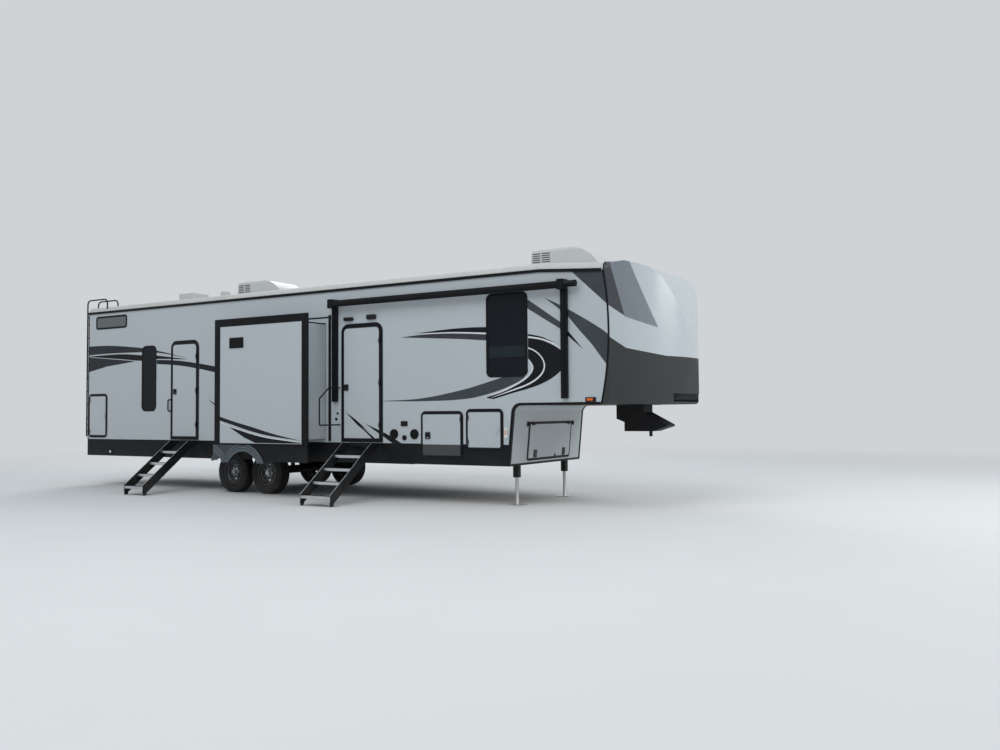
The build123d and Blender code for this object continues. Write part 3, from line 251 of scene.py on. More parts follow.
def gelcoat(name, colour, rough=0.3, runs=0.06):
    """Smooth moulded skin: orange peel, faint runs below the roof edge, dust low down."""
    paint = Paint(name, colour, rough)
    paint.mottle(0.7, 0.3, tint(colour, 0.95))
    runs_mask = paint.ramp(paint.noise(3.0, 6, (9, 9, 0.35)), 0.58, 0.9)
    paint.blend(paint.both(runs_mask, runs), (0.4, 0.39, 0.36))
    paint.dust(1.7, 0.16)
    paint.rough_noise(5, rough - 0.06, rough + 0.14)
    paint.bump(paint.noise(140, 2), 0.04)
    paint.bump(paint.noise(1.4, 2), 0.08, 0.003)
    paint.surface("Coat Weight", 0.15)
    paint.surface("Coat Roughness", 0.15)
    return paint


def powder(name, colour, rough=0.45, dust=0.18):
    """Powder-coated or anodised metal trim."""
    paint = Paint(name, colour, rough, specular=0.12)
    paint.mottle(4, 0.5, tint(colour, 1.35, 0.002))
    paint.dust(0.9, dust, (0.2, 0.185, 0.165))
    paint.rough_noise(14, rough - 0.1, rough + 0.12)
    paint.bump(paint.noise(420, 2), 0.12, 0.0006)
    return paint


def brushed(name, colour, rough=0.3):
    paint = Paint(name, colour, rough, 1.0)
    paint.mottle(9, 0.4, tint(colour, 0.7))
    paint.rough_noise(30, rough - 0.1, rough + 0.15)
    paint.bump(paint.noise(260, 2, (1, 1, 0.05)), 0.08, 0.0005)
    return paint


def membrane(name):
    """Roofing sheet, with the dirt that settles on it."""
    paint = Paint(name, ROOFING, 0.6)
    paint.mottle(1.2, 0.5, (0.45, 0.45, 0.43))
    paint.mottle(14, 0.25, (0.38, 0.375, 0.355))
    paint.bump(paint.noise(90, 4), 0.25)
    paint.rough_noise(6, 0.5, 0.75)
    return paint


def rubber(name):
    paint = Paint(name, BLACK, 0.75, specular=0.25)
    paint.mottle(8, 0.5, (0.028, 0.027, 0.025))
    paint.dust(0.5, 0.22, (0.13, 0.12, 0.105))
    paint.rough_noise(20, 0.62, 0.85)
    paint.bump(paint.noise(300, 3), 0.3, 0.0008)
    return paint


def dark_glass(name):
    """Tinted glass, a frosted grey in the small high window, and a paler band in the sash of the curb side's front
    one that is a painted reflection.
    """
    paint = Paint(name, GLASS, 0.06, specular=0.16)
    paint.mottle(0.8, 0.5, tint(GLASS, 1.8, 0.001))
    high = paint.both(paint.under(paint.ahead(), 1.25), paint.over(paint.axis("Z"), 3.2))
    paint.blend(high, (0.13, 0.14, 0.14))
    # Painted reflection: a paler band across the sash of the curb side's front window
    sash_reflection_band = paint.within(paint.ahead(), 9.81, 10.44, paint.axis("Z"), 2.27, 2.45)
    paint.blend(paint.both(sash_reflection_band, paint.under(paint.axis("Y"), 0.0)), (0.012, 0.02, 0.024))
    paint.rough_noise(3, 0.03, 0.1)
    paint.bump(paint.noise(1.1, 2), 0.05, 0.003)
    return paint


# Lenses set in the lamps' black housings: colour, then ahead and Z, low and high
LENSES = (
    (AMBER, 11.468, 11.562, 1.604, 1.641), (SILVER, 0.737, 0.783, 0.677, 0.723),
    (SILVER, 10.07, 10.14, 1.04, 1.22), (PEACH, 10.087, 10.123, 1.095, 1.175),
)


def lamp_paint(name):
    """Black ribbed housings with amber, pale and red lenses."""
    paint = Paint(name, INK, 0.18, specular=0.2)
    paint.mottle(40, 0.4, tint(INK, 0.6))
    ribs = paint.node("ShaderNodeTexWave", {"Scale": 60, "Vector": paint.coords})
    paint.bump(ribs.outputs["Fac"], 0.3)
    paint.surface("Coat Weight", 0.05)
    ahead, height = paint.ahead(), paint.axis("Z")
    for colour, low_x, high_x, low_z, high_z in LENSES:
        paint.blend(paint.within(ahead, low_x, high_x, height, low_z, high_z), colour)
    tail = paint.within(paint.out(), 0.94, 1.1, height, 1.09, 1.19)
    paint.blend(paint.both(tail, paint.under(ahead, -0.005)), RED)
    return paint


# Openings of the side walls' doors: ahead and Z, low and high, width of the frame, radius of its outer corners
DOORS = {
    "main_door": (6.86, 7.75, 0.96, 2.96, 0.06, 0.15),
    "rear_door": (2.56, 3.35, 0.96, 2.87, 0.06, 0.15),
    "baggage_door_front": (9.38, 10.06, 0.85, 1.5, 0.034, 0.085),
    "baggage_door_middle": (8.52, 9.33, 0.72, 1.47, 0.034, 0.085),
    "baggage_door_rear": (0.04, 0.64, 0.98, 1.88, 0.034, 0.085),
}


def door_outline(door, inset=0.0):
    """Rounded outline of a door's opening, or of its leaf, as low and high of both coordinates and a radius."""
    low_x, high_x, low_z, high_z = DOORS[door][:4]
    radius = DOORS[door][5]
    foot = low_z - 0.5 if door in ENTRY_DOORS else low_z + inset
    return low_x + inset, high_x - inset, foot, high_z - inset, radius - inset


def leaf_paint(name, side, doors, dark_foot=0.0, dark_latch=True):
    """A door leaf: pale skin, dark foot, black rounded corners, latches and hinges."""
    paint = gelcoat(name, PALE)
    if dark_foot:
        paint.blend(paint.under(paint.axis("Z"), dark_foot), SOOT)
    outside = []
    for door in doors:
        low_x, *rest = door_outline(door, DOORS[door][4] + LEAF_BORDER)
        outside.append(paint.beyond_round(low_x - LEAF_BORDER_LESS, *rest))
    paint.blend(paint.over(paint.least(outside), 0.0), INK)
    proud = paint.over(paint.both(paint.axis("Y"), side), LEAF + PROUD)
    if not dark_latch:
        proud = paint.both(proud, paint.under(paint.ahead(), DOORS[doors[0]][0] + HINGES_REACH))
    paint.blend(proud, INK)
    return paint


def frame_paint(name):
    """Black frames, their corners beyond the rounded outlines the colour of the wall."""
    paint = powder(name, TRIM, 0.35)
    outside = [paint.beyond_round(*door_outline(door)) for door in DOORS]
    side_wall = paint.both(paint.over(paint.out(), HALF - 0.005), paint.over(paint.axis("Z"), 0.953))
    paint.blend(paint.both(side_wall, paint.over(paint.least(outside), 0.0)), PALE)
    return paint


def bin_paint(name):
    """The bin door: pale skin, black where latches and hinges stand off the leaning bulkhead."""
    paint = gelcoat(name, PALE)
    forward = paint.both(paint.minus(paint.ahead(), FOOT_X), cos(LEAN))
    drop = paint.both(paint.minus(paint.axis("Z"), FOOT_Z), sin(LEAN))
    paint.blend(paint.over(paint.minus(forward, drop), BIN_FACE + PROUD), INK)
    return paint


def slide_skirt_paint(name):
    """The curb slide-out's near-black skirt, grey where its share of the fender stands proud."""
    paint = powder(name, SKIRT, 0.42)
    paint.blend(paint.over(paint.out(), FLANGE + 0.0005), FENDER)
    return paint


def leg_paint(name):
    """Landing legs: black square tube above, bright rod and foot below."""
    paint = powder(name, (0.011, 0.011, 0.012), 0.45)
    bright = paint.under(paint.axis("Z"), 0.43)
    paint.blend(bright, (0.52, 0.52, 0.51))
    paint.surface("Metallic", bright)
    return paint


def rim_paint(name):
    """Graphite wheel with bright nuts and hub."""
    paint = Paint(name, (0.035, 0.036, 0.038), 0.34)
    paint.mottle(9, 0.4, (0.055, 0.055, 0.056))
    ahead = paint.ahead()
    along = paint.least([paint.off(ahead, axle) for axle in AXLES])
    radius = paint.diagonal(along, paint.minus(paint.axis("Z"), AXLE_Z))
    bright = paint.both(paint.over(paint.out(), RIM + PROUD), paint.under(radius, 0.094))
    paint.blend(bright, (0.38, 0.39, 0.4))
    paint.surface("Metallic", bright)
    paint.rough_noise(20, 0.25, 0.45)
    paint.bump(paint.noise(220, 2), 0.08, 0.0006)
    return paint


def cover_paint(name):
    """Roof units: pale moulded covers, with painted shade inside the slots of their grilles."""
    paint = gelcoat(name, ROOFING, 0.42, 0.15)
    ahead = paint.ahead()
    # Painted shade: the sunk faces inside the grilles' slots are darkened
    slot_shade = paint.both(paint.under(paint.out(), 0.3435), paint.over(paint.out(), 0.3405))
    for start in COVERS:
        for low, high in ((0.058, 0.202), (0.223, 0.377)):
            area = paint.within(ahead, start + low, start + high, paint.axis("Z"), 3.82, 4.01)
            paint.blend(paint.both(area, slot_shade), (0.03, 0.03, 0.032))
    return paint


def cap_paint(name):
    """The cap: pale gelcoat, charcoal below a kinked line and two grey fields beside the seam."""
    paint = gelcoat(name, PALE, 0.24, 0.04)
    x, z = paint.ahead(), paint.axis("Z")

    def past(value, other, first, second):
        """1 where a coordinate is past the line through two places, 0 before it."""
        slope = (second[0] - first[0]) / (second[1] - first[1])
        line = paint.math("ADD", paint.both(other, slope), first[0] - slope * first[1])
        return paint.ramp(paint.minus(value, line), -0.001, 0.001)

    def above(x0, z0, x1, z1):
        return past(z, x, (z0, x0), (z1, x1))

    def beyond(x0, z0, x1, z1):
        return past(x, z, (x0, z0), (x1, z1))

    dark_edge = beyond(11.836, 3.6, 12.025, 2.805)
    pale_edge = beyond(12.11, 3.53, 12.4, 2.65)
    paint.blend(paint.both(above(11.806, 2.979, 12.025, 2.81), paint.inverse(dark_edge)), SLATE)
    paint.blend(paint.both(dark_edge, paint.inverse(pale_edge), above(12.025, 2.8, 12.397, 2.65)), ASH)
    low_side = paint.both(
        paint.inverse(above(11.82, 2.52, 12.035, 2.353)),
        paint.inverse(beyond(12.035, 2.3, 12.036, 2.4)),
    )
    low_front = paint.both(
        paint.inverse(above(12.035, 2.353, 12.48, 2.243)),
        beyond(12.031, 2.3, 12.032, 2.4),
        paint.inverse(beyond(12.48, 2.2, 12.481, 2.3)),
    )
    low_nose = paint.both(
        paint.inverse(above(12.48, 2.243, 12.66, 2.237)),
        beyond(12.476, 2.2, 12.477, 2.3),
    )
    dark = paint.chain("MAXIMUM", (low_side, low_front, low_nose))
    paint.blend(dark, CHARCOAL)
    paint.blend(paint.within(paint.out(), -0.01, 0.56, z, 1.585, 1.7), INK)
    for socket, shine in (("Specular IOR Level", 0.5), ("Coat Weight", 0.15)):
        paint.surface(socket, paint.minus(shine, paint.both(dark, 0.8 * shine)))
    grain = paint.math("ADD", paint.both(paint.noise(5), 0.2), 0.16)
    paint.surface("Roughness", paint.math("ADD", grain, paint.both(dark, 0.4)))
    return paint


wall_mat = gelcoat("wall_skin", PALE).material
trim_mat = powder("trim_black", TRIM, 0.35).material
fender_mat = powder("fender_grey", FENDER, 0.5).material
# Raised fender ribs: a paler grey than the fender, a painted highlight on the same moulding
rib_highlight_mat = powder("rib_painted_highlight", (0.185, 0.215, 0.23), 0.45).material
steel_mat = powder("chassis_black", BLACK, 0.55).material
glass_mat = dark_glass("tinted_glass").material
bright_mat = brushed("bright_metal", (0.6, 0.61, 0.63), 0.3).material
tube_mat = powder("tube_black", (0.0058, 0.006, 0.0066), 0.45).material
plastic_mat = powder("moulded_black", (0.009, 0.0095, 0.011), 0.5).material
step_mat = powder("step_black", (0.0105, 0.011, 0.012), 0.5).material
tyre_mat = rubber("tyre_rubber").material
rim_mat = rim_paint("graphite_rim").material
cover_mat = cover_paint("roof_cover").material
ink_mat, moss_mat, slate_mat, night_mat, shade_mat = (
    powder("stripe_" + name, colour, 0.3).material
    for name, colour in (("black", INK), ("grey", MOSS), ("slate", SLATE), ("night", NIGHT), ("shade", SHADE))
)
silver_mat = gelcoat("stripe_silver", SILVER, 0.25, 0.0).material

node_looks = {
    "roof": membrane("roof_membrane").material,
    "front_cap": cap_paint("cap_skin").material,
    "fenders": fender_mat,
    "awning_roller": powder("awning_cloth", (0.01, 0.01, 0.012), 0.8).material,
    "underbelly": powder("belly_black", (0.014, 0.014, 0.015), 0.7).material,
    "floor": powder("deck_board", (0.2, 0.15, 0.1), 0.7, dust=0.0).material,
    "lamps": lamp_paint("lamp_housings").material,
    "landing_legs": leg_paint("leg_steel").material,
    "entry_steps": step_mat,
    "side_fittings": plastic_mat,
    "curb_slide_skirt": slide_skirt_paint("slide_skirt_black").material,
    "lower_skirt": powder("skirt_black", SKIRT, 0.42).material,
    "opening_frames": frame_paint("frame_black").material,
    "baggage_door_middle": leaf_paint("curb_hatch", -1, ("baggage_door_middle",), 0.94).material,
    "street_baggage_door": leaf_paint("street_hatch", 1, ("baggage_door_middle",), 0.94).material,
    "baggage_door_front": leaf_paint("front_hatch", -1, ("baggage_door_front",), 0.0, False).material,
    "baggage_door_rear": leaf_paint("rear_hatch", -1, ("baggage_door_rear",), 0.0, False).material,
    "bin_door": bin_paint("bin_leaf").material,
}
door_mat = leaf_paint("door_leaf", -1, ENTRY_DOORS).material
shared_looks = {
    wall_mat: ("curb_side_wall", "street_side_wall", "rear_wall", "front_bulkhead", "curb_slide_room",
               "street_slide_room"),
    trim_mat: ("gutter_rails", "window_frames", "awning_arms", "curb_slide_trim",
               "street_slide_trim", "street_slide_frames"),
    glass_mat: ("window_glass", "street_slide_glass"),
    steel_mat: ("pin_box", "axles", "leaf_springs", "chassis_frame"),
    tube_mat: ("rear_ladder", "entry_handles"),
    cover_mat: ("roof_air_conditioners", "roof_vents"),
    door_mat: ENTRY_DOORS,
    tyre_mat: tuple("tyre_" + wheel for wheel in WHEELS),
    rim_mat: tuple("rim_" + wheel for wheel in WHEELS),
}
for look, names in shared_looks.items():
    for name in names:
        node_looks[name] = look
for name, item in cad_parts.items():
    for material_slot in item.material_slots:
        material_slot.link = "OBJECT"
        material_slot.material = node_looks[name]

# Pieces of the pack that get softened edges: sheet metal and mouldings
SOFTENED = (
    "fenders", "curb_slide_room", "curb_slide_trim", "curb_slide_skirt", "street_slide_room", "street_slide_trim",
    "entry_steps", "awning_arms", "pin_box", "roof_vents", "side_fittings", "lamps", "chassis_frame",
    "landing_legs", "gutter_rails",
)


def soften(item, width, angle=30):
    """Round the edges where faces meet at more than this angle."""
    edge = item.modifiers.new("edge", "BEVEL")
    edge.width = width
    edge.segments = 2
    edge.limit_method = "ANGLE"
    edge.angle_limit = radians(angle)


for name in SOFTENED:
    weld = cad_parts[name].modifiers.new("weld", "WELD")
    weld.merge_threshold = 0.0001
    soften(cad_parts[name], 0.0025, 50)


# Pieces
def piece(name, bm, material, body=BODY, bevel=0.0):
    """Turn a bmesh into an object that rides on a body."""
    bmesh.ops.recalc_face_normals(bm, faces=bm.faces)
    mesh = bpy.data.meshes.new(name)
    bm.to_mesh(mesh)
    bm.free()
    mesh.materials.append(material)
    item = bpy.data.objects.new(name, mesh)
    scene.collection.objects.link(item)
    if bevel:
        soften(item, bevel)
    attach(item, body)
    return item


def at(ahead, y, z):
    """A place given by its distance ahead of the rear wall."""
    return Vector((REAR + ahead, y, z))


def add_block(bm, places):
    """Block between eight corners: the last coordinate changes first, then the middle one."""
    corners = [bm.verts.new(place) for place in places]
    for face in ((0, 1, 3, 2), (4, 6, 7, 5), (0, 4, 5, 1), (2, 3, 7, 6), (0, 2, 6, 4), (1, 5, 7, 3)):
        bm.faces.new([corners[k] for k in face])


def add_box(bm, x0, x1, y0, y1, z0, z1):
    """Box between two places, x ahead of the rear wall."""
    add_block(bm, [at(x, y, z) for x in (x0, x1) for y in (y0, y1) for z in (z0, z1)])


def add_skin(bm, rings, ends=True):
    """Skin over a row of rings of places, its ends closed or left open."""
    rings = [[bm.verts.new(place) for place in ring] for ring in rings]
    for low, high in zip(rings, rings[1:]):
        for k in range(len(low)):
            j = (k + 1) % len(low)
            bm.faces.new((low[k], low[j], high[j], high[k]))
    if ends:
        bm.faces.new(rings[-1])
        bm.faces.new(rings[0][::-1])


def add_bar(bm, start, end, width, depth, across=(0, 1, 0)):
    """Rectangular bar between two points; width lies along across, depth at right angles to it."""
    along = (end - start).normalized()
    side = Vector(across)
    side = (side - along * side.dot(along)).normalized()
    rise = along.cross(side)
    section = [side * a * width / 2 + rise * b * depth / 2 for a, b in ((-1, -1), (1, -1), (1, 1), (-1, 1))]
    add_skin(bm, [[place + corner for corner in section] for place in (start, end)])


def add_turned(bm, centre, normal, profile, sides=32, ends=True):
    """Turned form: profile is a list of (radius, distance out along normal)."""
    turn = Vector(normal).normalized().to_track_quat("Z", "Y").to_matrix()
    circle = [(cos(2 * pi * k / sides), sin(2 * pi * k / sides)) for k in range(sides)]
    rings = []
    for radius, along in profile:
        rings.append([centre + turn @ Vector((radius * a, radius * b, along)) for a, b in circle])
    add_skin(bm, rings, ends)


def add_screw(bm, place, normal, radius=0.006, height=0.002):
    """Low screw head."""
    add_turned(bm, place, normal, [(radius, 0), (radius - 0.001, height)], 8)


def smooth_line(points, steps=8):
    """Smooth open line through these points."""
    ends = [points[0], *points, points[-1]]
    line = []
    for a, b, c, d in zip(ends, ends[1:], ends[2:], ends[3:]):
        for step in range(steps):
            t = step / steps
            line.append(tuple(
                0.5 * (2 * q + (r - p) * t + (2 * p - 5 * q + 4 * r - s) * t * t + (3 * q - p - 3 * r + s) * t**3)
                for p, q, r, s in zip(a, b, c, d)
            ))
    line.append(points[-1])
    return line


def cut(bm, x0, x1, z0, z1, inside=True):
    """Trim flat shapes by a rectangle: drop what lies inside it, or else what lies outside."""
    low, high = at(x0, 0, z0), at(x1, 0, z1)
    for place, normal in ((low, (1, 0, 0)), (high, (1, 0, 0)), (low, (0, 0, 1)), (high, (0, 0, 1))):
        geometry = bm.verts[:] + bm.edges[:] + bm.faces[:]
        bmesh.ops.bisect_plane(bm, geom=geometry, plane_co=place, plane_no=normal)
    doomed = []
    for face in bm.faces:
        middle = face.calc_center_median()
        within = low.x < middle.x < high.x and low.z < middle.z < high.z
        if within == inside:
            doomed.append(face)
    bmesh.ops.delete(bm, geom=doomed, context="FACES")


def stripe(name, edges, y, material, body=BODY, holes=(), window=None):
    """Flat painted shape on a panel at y; holes are left bare, and window is all that is kept."""
    bm = bmesh.new()
    upper, lower = edges
    ring = upper + lower[::-1]
    corners = [bm.verts.new(at(x, y, z)) for x, z in ring]
    for triangle in tessellate_polygon([[Vector((x, z, 0)) for x, z in ring]]):
        if len(set(triangle)) == 3:
            try:
                bm.faces.new([corners[k] for k in triangle])
            except ValueError:
                pass
    for hole in holes:
        cut(bm, *hole)
    if window:
        cut(bm, *window, inside=False)
    if not bm.faces:
        bm.free()
        return
    for polygon in piece(name, bm, material, body).data.polygons:
        if polygon.normal.y * y < 0:
            polygon.flip()


# Stripes of the side walls: (name, colour, curved?, upper edge, lower edge), ahead and Z, silver lines last
wall_stripes = [
    ("crescent", ink_mat, True,
     [(10.497, 2.558), (10.718, 2.518), (10.902, 2.443), (11.034, 2.363), (11.099, 2.294), (11.123, 2.205),
      (11.097, 2.118), (11.03, 2.039), (10.897, 1.946), (10.712, 1.861), (10.473, 1.791), (10.229, 1.735),
      (9.892, 1.649)],
     [(10.494, 2.242), (10.545, 2.18), (10.57, 2.119), (10.544, 2.045), (10.457, 1.957), (10.3, 1.87),
      (10.054, 1.769), (9.767, 1.681), (9.85, 1.652)]),
    ("top_line", ink_mat, True,
     [(10.498, 2.619), (10.719, 2.57), (10.836, 2.52), (10.969, 2.462)],
     [(10.497, 2.589), (10.719, 2.548), (10.836, 2.505), (10.969, 2.462)]),
    ("swoosh", moss_mat, True,
     [(7.749, 1.645), (8.301, 1.66), (8.696, 1.696), (9.082, 1.757), (9.457, 1.829), (9.759, 1.905), (10.002, 1.968),
      (10.135, 2.011), (10.43, 2.003)],
     [(7.749, 1.639), (8.301, 1.631), (8.696, 1.632), (9.081, 1.639), (9.456, 1.665), (9.758, 1.72), (10.054, 1.799),
      (10.301, 1.893), (10.429, 1.965)]),
    ("left_black", ink_mat, True,
     [(8.385, 2.732), (8.702, 2.748), (9.088, 2.768), (9.464, 2.772), (9.775, 2.763)],
     [(8.385, 2.732), (8.702, 2.726), (9.088, 2.72), (9.463, 2.699), (9.775, 2.676)]),
    ("left_grey", slate_mat, True,
     [(8.113, 2.679), (8.505, 2.702), (8.896, 2.702), (9.276, 2.686), (9.774, 2.648)],
     [(8.113, 2.679), (8.701, 2.64), (9.276, 2.6), (9.774, 2.554)]),
    ("upper_slash", moss_mat, False,
     [(10.48, 3.152), (11.038, 2.774), (11.075, 2.735)],
     [(10.48, 3.012), (11.037, 2.672), (11.075, 2.638)]),
    ("upper_spike", ink_mat, False,
     [(11.075, 2.735), (11.413, 2.35)],
     [(11.075, 2.638), (11.413, 2.35)]),
    ("broad_slash", moss_mat, True,
     [(10.78, 3.149), (11.041, 3.022), (11.36, 2.845), (11.681, 2.648), (11.813, 2.548)],
     [(10.78, 3.149), (11.04, 2.954), (11.154, 2.86), (11.355, 2.632), (11.536, 2.434), (11.676, 2.252),
      (11.785, 2.111)]),
    ("roof_triangle", moss_mat, False,
     [(11.22, 3.515), (11.72, 3.47), (11.735, 3.46)],
     [(11.22, 3.515), (11.8, 2.985)]),
    ("door_low", ink_mat, True,
     [(6.954, 1.47), (7.262, 1.28), (7.63, 0.991), (7.7, 0.951)],
     [(6.954, 1.47), (7.197, 1.263), (7.39, 1.13), (7.559, 0.998), (7.62, 0.951)]),
    ("door_up", ink_mat, True,
     [(7.369, 1.277), (7.685, 1.156), (7.933, 1.051), (8.12, 0.951)],
     [(7.369, 1.277), (7.643, 1.123), (7.851, 1.001), (7.94, 0.951)]),
    ("rear_top", shade_mat, True,
     [(0.0, 2.873), (0.74, 2.86), (1.683, 2.776), (2.138, 2.703), (2.6, 2.615), (3.138, 2.5)],
     [(0.0, 2.69), (0.742, 2.702), (1.684, 2.69), (2.139, 2.664), (2.6, 2.6), (3.138, 2.5)]),
    ("rear_middle", ink_mat, True,
     [(0.045, 2.666), (1.025, 2.675), (1.685, 2.631), (2.139, 2.606), (3.009, 2.504)],
     [(0.045, 2.656), (1.026, 2.575), (1.686, 2.52), (2.14, 2.54), (3.009, 2.5)]),
    ("rear_wedge", shade_mat, False,
     [(0.002, 2.649), (1.45, 2.522)],
     [(0.002, 2.335), (0.62, 2.44), (1.45, 2.51)]),
    ("rear_low", night_mat, True,
     [(2.14, 2.522), (2.7, 2.49), (3.239, 2.426), (4.33, 2.255)],
     [(2.141, 2.44), (2.7, 2.398), (3.239, 2.328), (4.33, 2.13)]),
    ("rear_spike", ink_mat, False,
     [(3.581, 1.732), (4.33, 1.4)],
     [(3.581, 1.732), (4.33, 1.28)]),
    ("arc_outer", silver_mat, True,
     [(10.496, 2.42), (10.63, 2.36), (10.736, 2.26), (10.784, 2.142), (10.75, 2.026), (10.64, 1.925),
      (10.468, 1.84), (10.225, 1.768), (9.85, 1.668)],
     [(10.496, 2.401), (10.622, 2.343), (10.719, 2.251), (10.762, 2.143), (10.728, 2.037), (10.62, 1.941),
      (10.452, 1.86), (10.212, 1.785), (9.85, 1.672)]),
    ("arc_inner", silver_mat, True,
     [(10.494, 2.25), (10.551, 2.187), (10.583, 2.119), (10.558, 2.039), (10.462, 1.945), (10.297, 1.856),
      (10.051, 1.757), (9.72, 1.668)],
     [(10.494, 2.23), (10.536, 2.175), (10.562, 2.12), (10.538, 2.046), (10.444, 1.958), (10.281, 1.872),
      (10.037, 1.775), (9.72, 1.673)]),
    ("crescent_rim", silver_mat, True,
     [(10.497, 2.586), (10.719, 2.545), (10.907, 2.475), (11.05, 2.386)],
     [(10.497, 2.566), (10.718, 2.525), (10.902, 2.456), (11.045, 2.37)]),
    ("door_line", silver_mat, True,
     [(7.3, 1.225), (7.6, 1.04), (7.72, 0.951)],
     [(7.3, 1.225), (7.59, 1.03), (7.685, 0.951)]),
    ("left_line", silver_mat, True,
     [(8.6, 2.722), (9.088, 2.718), (9.463, 2.697), (9.775, 2.674)],
     [(8.6, 2.712), (9.088, 2.703), (9.463, 2.679), (9.775, 2.652)]),
]
# Rectangles of ahead and Z, low and high: what stripes leave bare on each side, and what they may cover elsewhere
curb_holes = [
    (1.715, 2.115, 1.525, 2.795), (0.265, 1.215, 3.225, 3.465), (9.775, 10.475, 1.995, 3.255),
    (6.875, 7.735, 0.0, 2.945), (2.575, 3.335, 0.0, 2.855), (4.41, 6.51, 0.0, 3.01),
    (8.535, 9.315, 0.0, 1.455), (9.395, 10.045, 0.0, 1.485), (0.055, 0.625, 0.995, 1.865),
]
street_holes = [
    (10.165, 10.865, 2.115, 2.985), (0.915, 1.785, 2.165, 2.935), (4.09, 8.21, 0.0, 3.01),
    (8.535, 9.315, 0.0, 1.455),
]
door_windows = {"main_door": (6.927, 7.683, 1.027, 2.89), "rear_door": (2.627, 3.283, 1.027, 2.8)}
curb_only = {"door_low", "door_up", "rear_spike", "crescent_rim", "door_line"}
slide_window = (4.476, 6.424, 0.932, 3.0)

# How far painted stripes, and the silver lines over them, stand off a panel
SKIN = 0.0012
LINE_SKIN = 1.8 * SKIN
for name, colour, curved, upper, lower in wall_stripes:
    edges = (smooth_line(upper), smooth_line(lower)) if curved else (upper, lower)
    silver = colour is silver_mat
    skin = LINE_SKIN if silver else SKIN
    label = "line_" + name if silver else name
    stripe(label if silver else "stripe_" + name, edges, -HALF - skin, colour, BODY, curb_holes)
    if name not in curb_only:
        stripe("street_" + label, edges, HALF + skin, colour, BODY, street_holes)
    for door, window in door_windows.items():
        stripe(door + "_" + label, edges, -LEAF - skin, colour, door, (), window)

slide_stripes = [
    ("band", night_mat,
     [(4.47, 1.4), (4.857, 1.305), (5.226, 1.226), (5.82, 1.091), (6.392, 0.992)],
     [(4.47, 1.332), (4.733, 1.269), (5.226, 1.148), (5.703, 1.064), (6.392, 0.99)]),
    ("line", silver_mat,
     [(4.47, 1.31), (4.733, 1.23), (5.226, 1.121), (5.703, 1.037), (6.37, 0.968)],
     [(4.47, 1.298), (4.734, 1.218), (5.226, 1.107), (5.704, 1.023), (6.37, 0.957)]),
    ("wedge", ink_mat,
     [(4.709, 1.216), (4.982, 1.155), (5.275, 1.087), (5.704, 1.018), (6.392, 0.958)],
     [(4.709, 1.216), (5.081, 1.033), (5.348, 0.9411), (6.392, 0.9411)]),
]
for name, colour, upper, lower in slide_stripes:
    skin = LINE_SKIN if colour is silver_mat else SKIN
    edges = (smooth_line(upper), smooth_line(lower) if name != "wedge" else lower)
    stripe("slide_" + name, edges, -PANEL - skin, colour, "curb_slide", (), slide_window)

# Tyres: ribbed sidewalls, four grooves round the tread and shoulders with a notch at every third step
TREAD_STEPS = 3 * 54
TREAD_SLANT = 0.35
TYRE_MIDDLE = 1.0725
# Half of the section: distance from the middle of the tyre, radius, and how deep a notch cuts there
TYRE_HALF = [
    (0.066, 0.21, 0), (0.08, 0.2104, 0), (0.083, 0.224, 0), (0.09, 0.23, 0), (0.102, 0.248, 0),
    (0.1045, 0.25, 0), (0.104, 0.253, 0), (0.114, 0.276, 0), (0.1172, 0.3, 0), (0.1165, 0.316, 0),
    (0.1172, 0.318, 0), (0.116, 0.326, 0), (0.114, 0.33, 0), (0.1125, 0.342, 0.002),
    (0.108, 0.356, 0.004), (0.101, 0.368, 0.006), (0.092, 0.375, 0.007), (0.082, 0.3778, 0.007),
    (0.066, 0.3788, 0.007), (0.064, 0.3715, 0), (0.056, 0.3715, 0), (0.054, 0.3793, 0.003),
    (0.025, 0.3798, 0.003), (0.023, 0.3722, 0), (0.014, 0.3722, 0), (0.012, 0.3799, 0), (0.0, 0.38, 0),
]
# The whole section, from the inner bead over the tread to the outer bead
TYRE_SECTION = [(-half, radius, notch) for half, radius, notch in TYRE_HALF] + TYRE_HALF[-2::-1]
for wheel, (ahead, side) in WHEELS.items():
    bm = bmesh.new()
    rings = []
    for half, radius, notch in TYRE_SECTION:
        ring = []
        for k in range(TREAD_STEPS):
            angle = 2 * pi * k / TREAD_STEPS + TREAD_SLANT * abs(half)
            r = radius - (notch if k % 3 == 0 else 0)
            ring.append(at(ahead + r * sin(angle), side * (TYRE_MIDDLE + half), AXLE_Z - r * cos(angle)))
        rings.append(ring)
    add_skin(bm, rings, ends=False)
    tyre = piece("tread_" + wheel, bm, tyre_mat, "wheel_" + wheel)
    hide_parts("tyre_" + wheel)

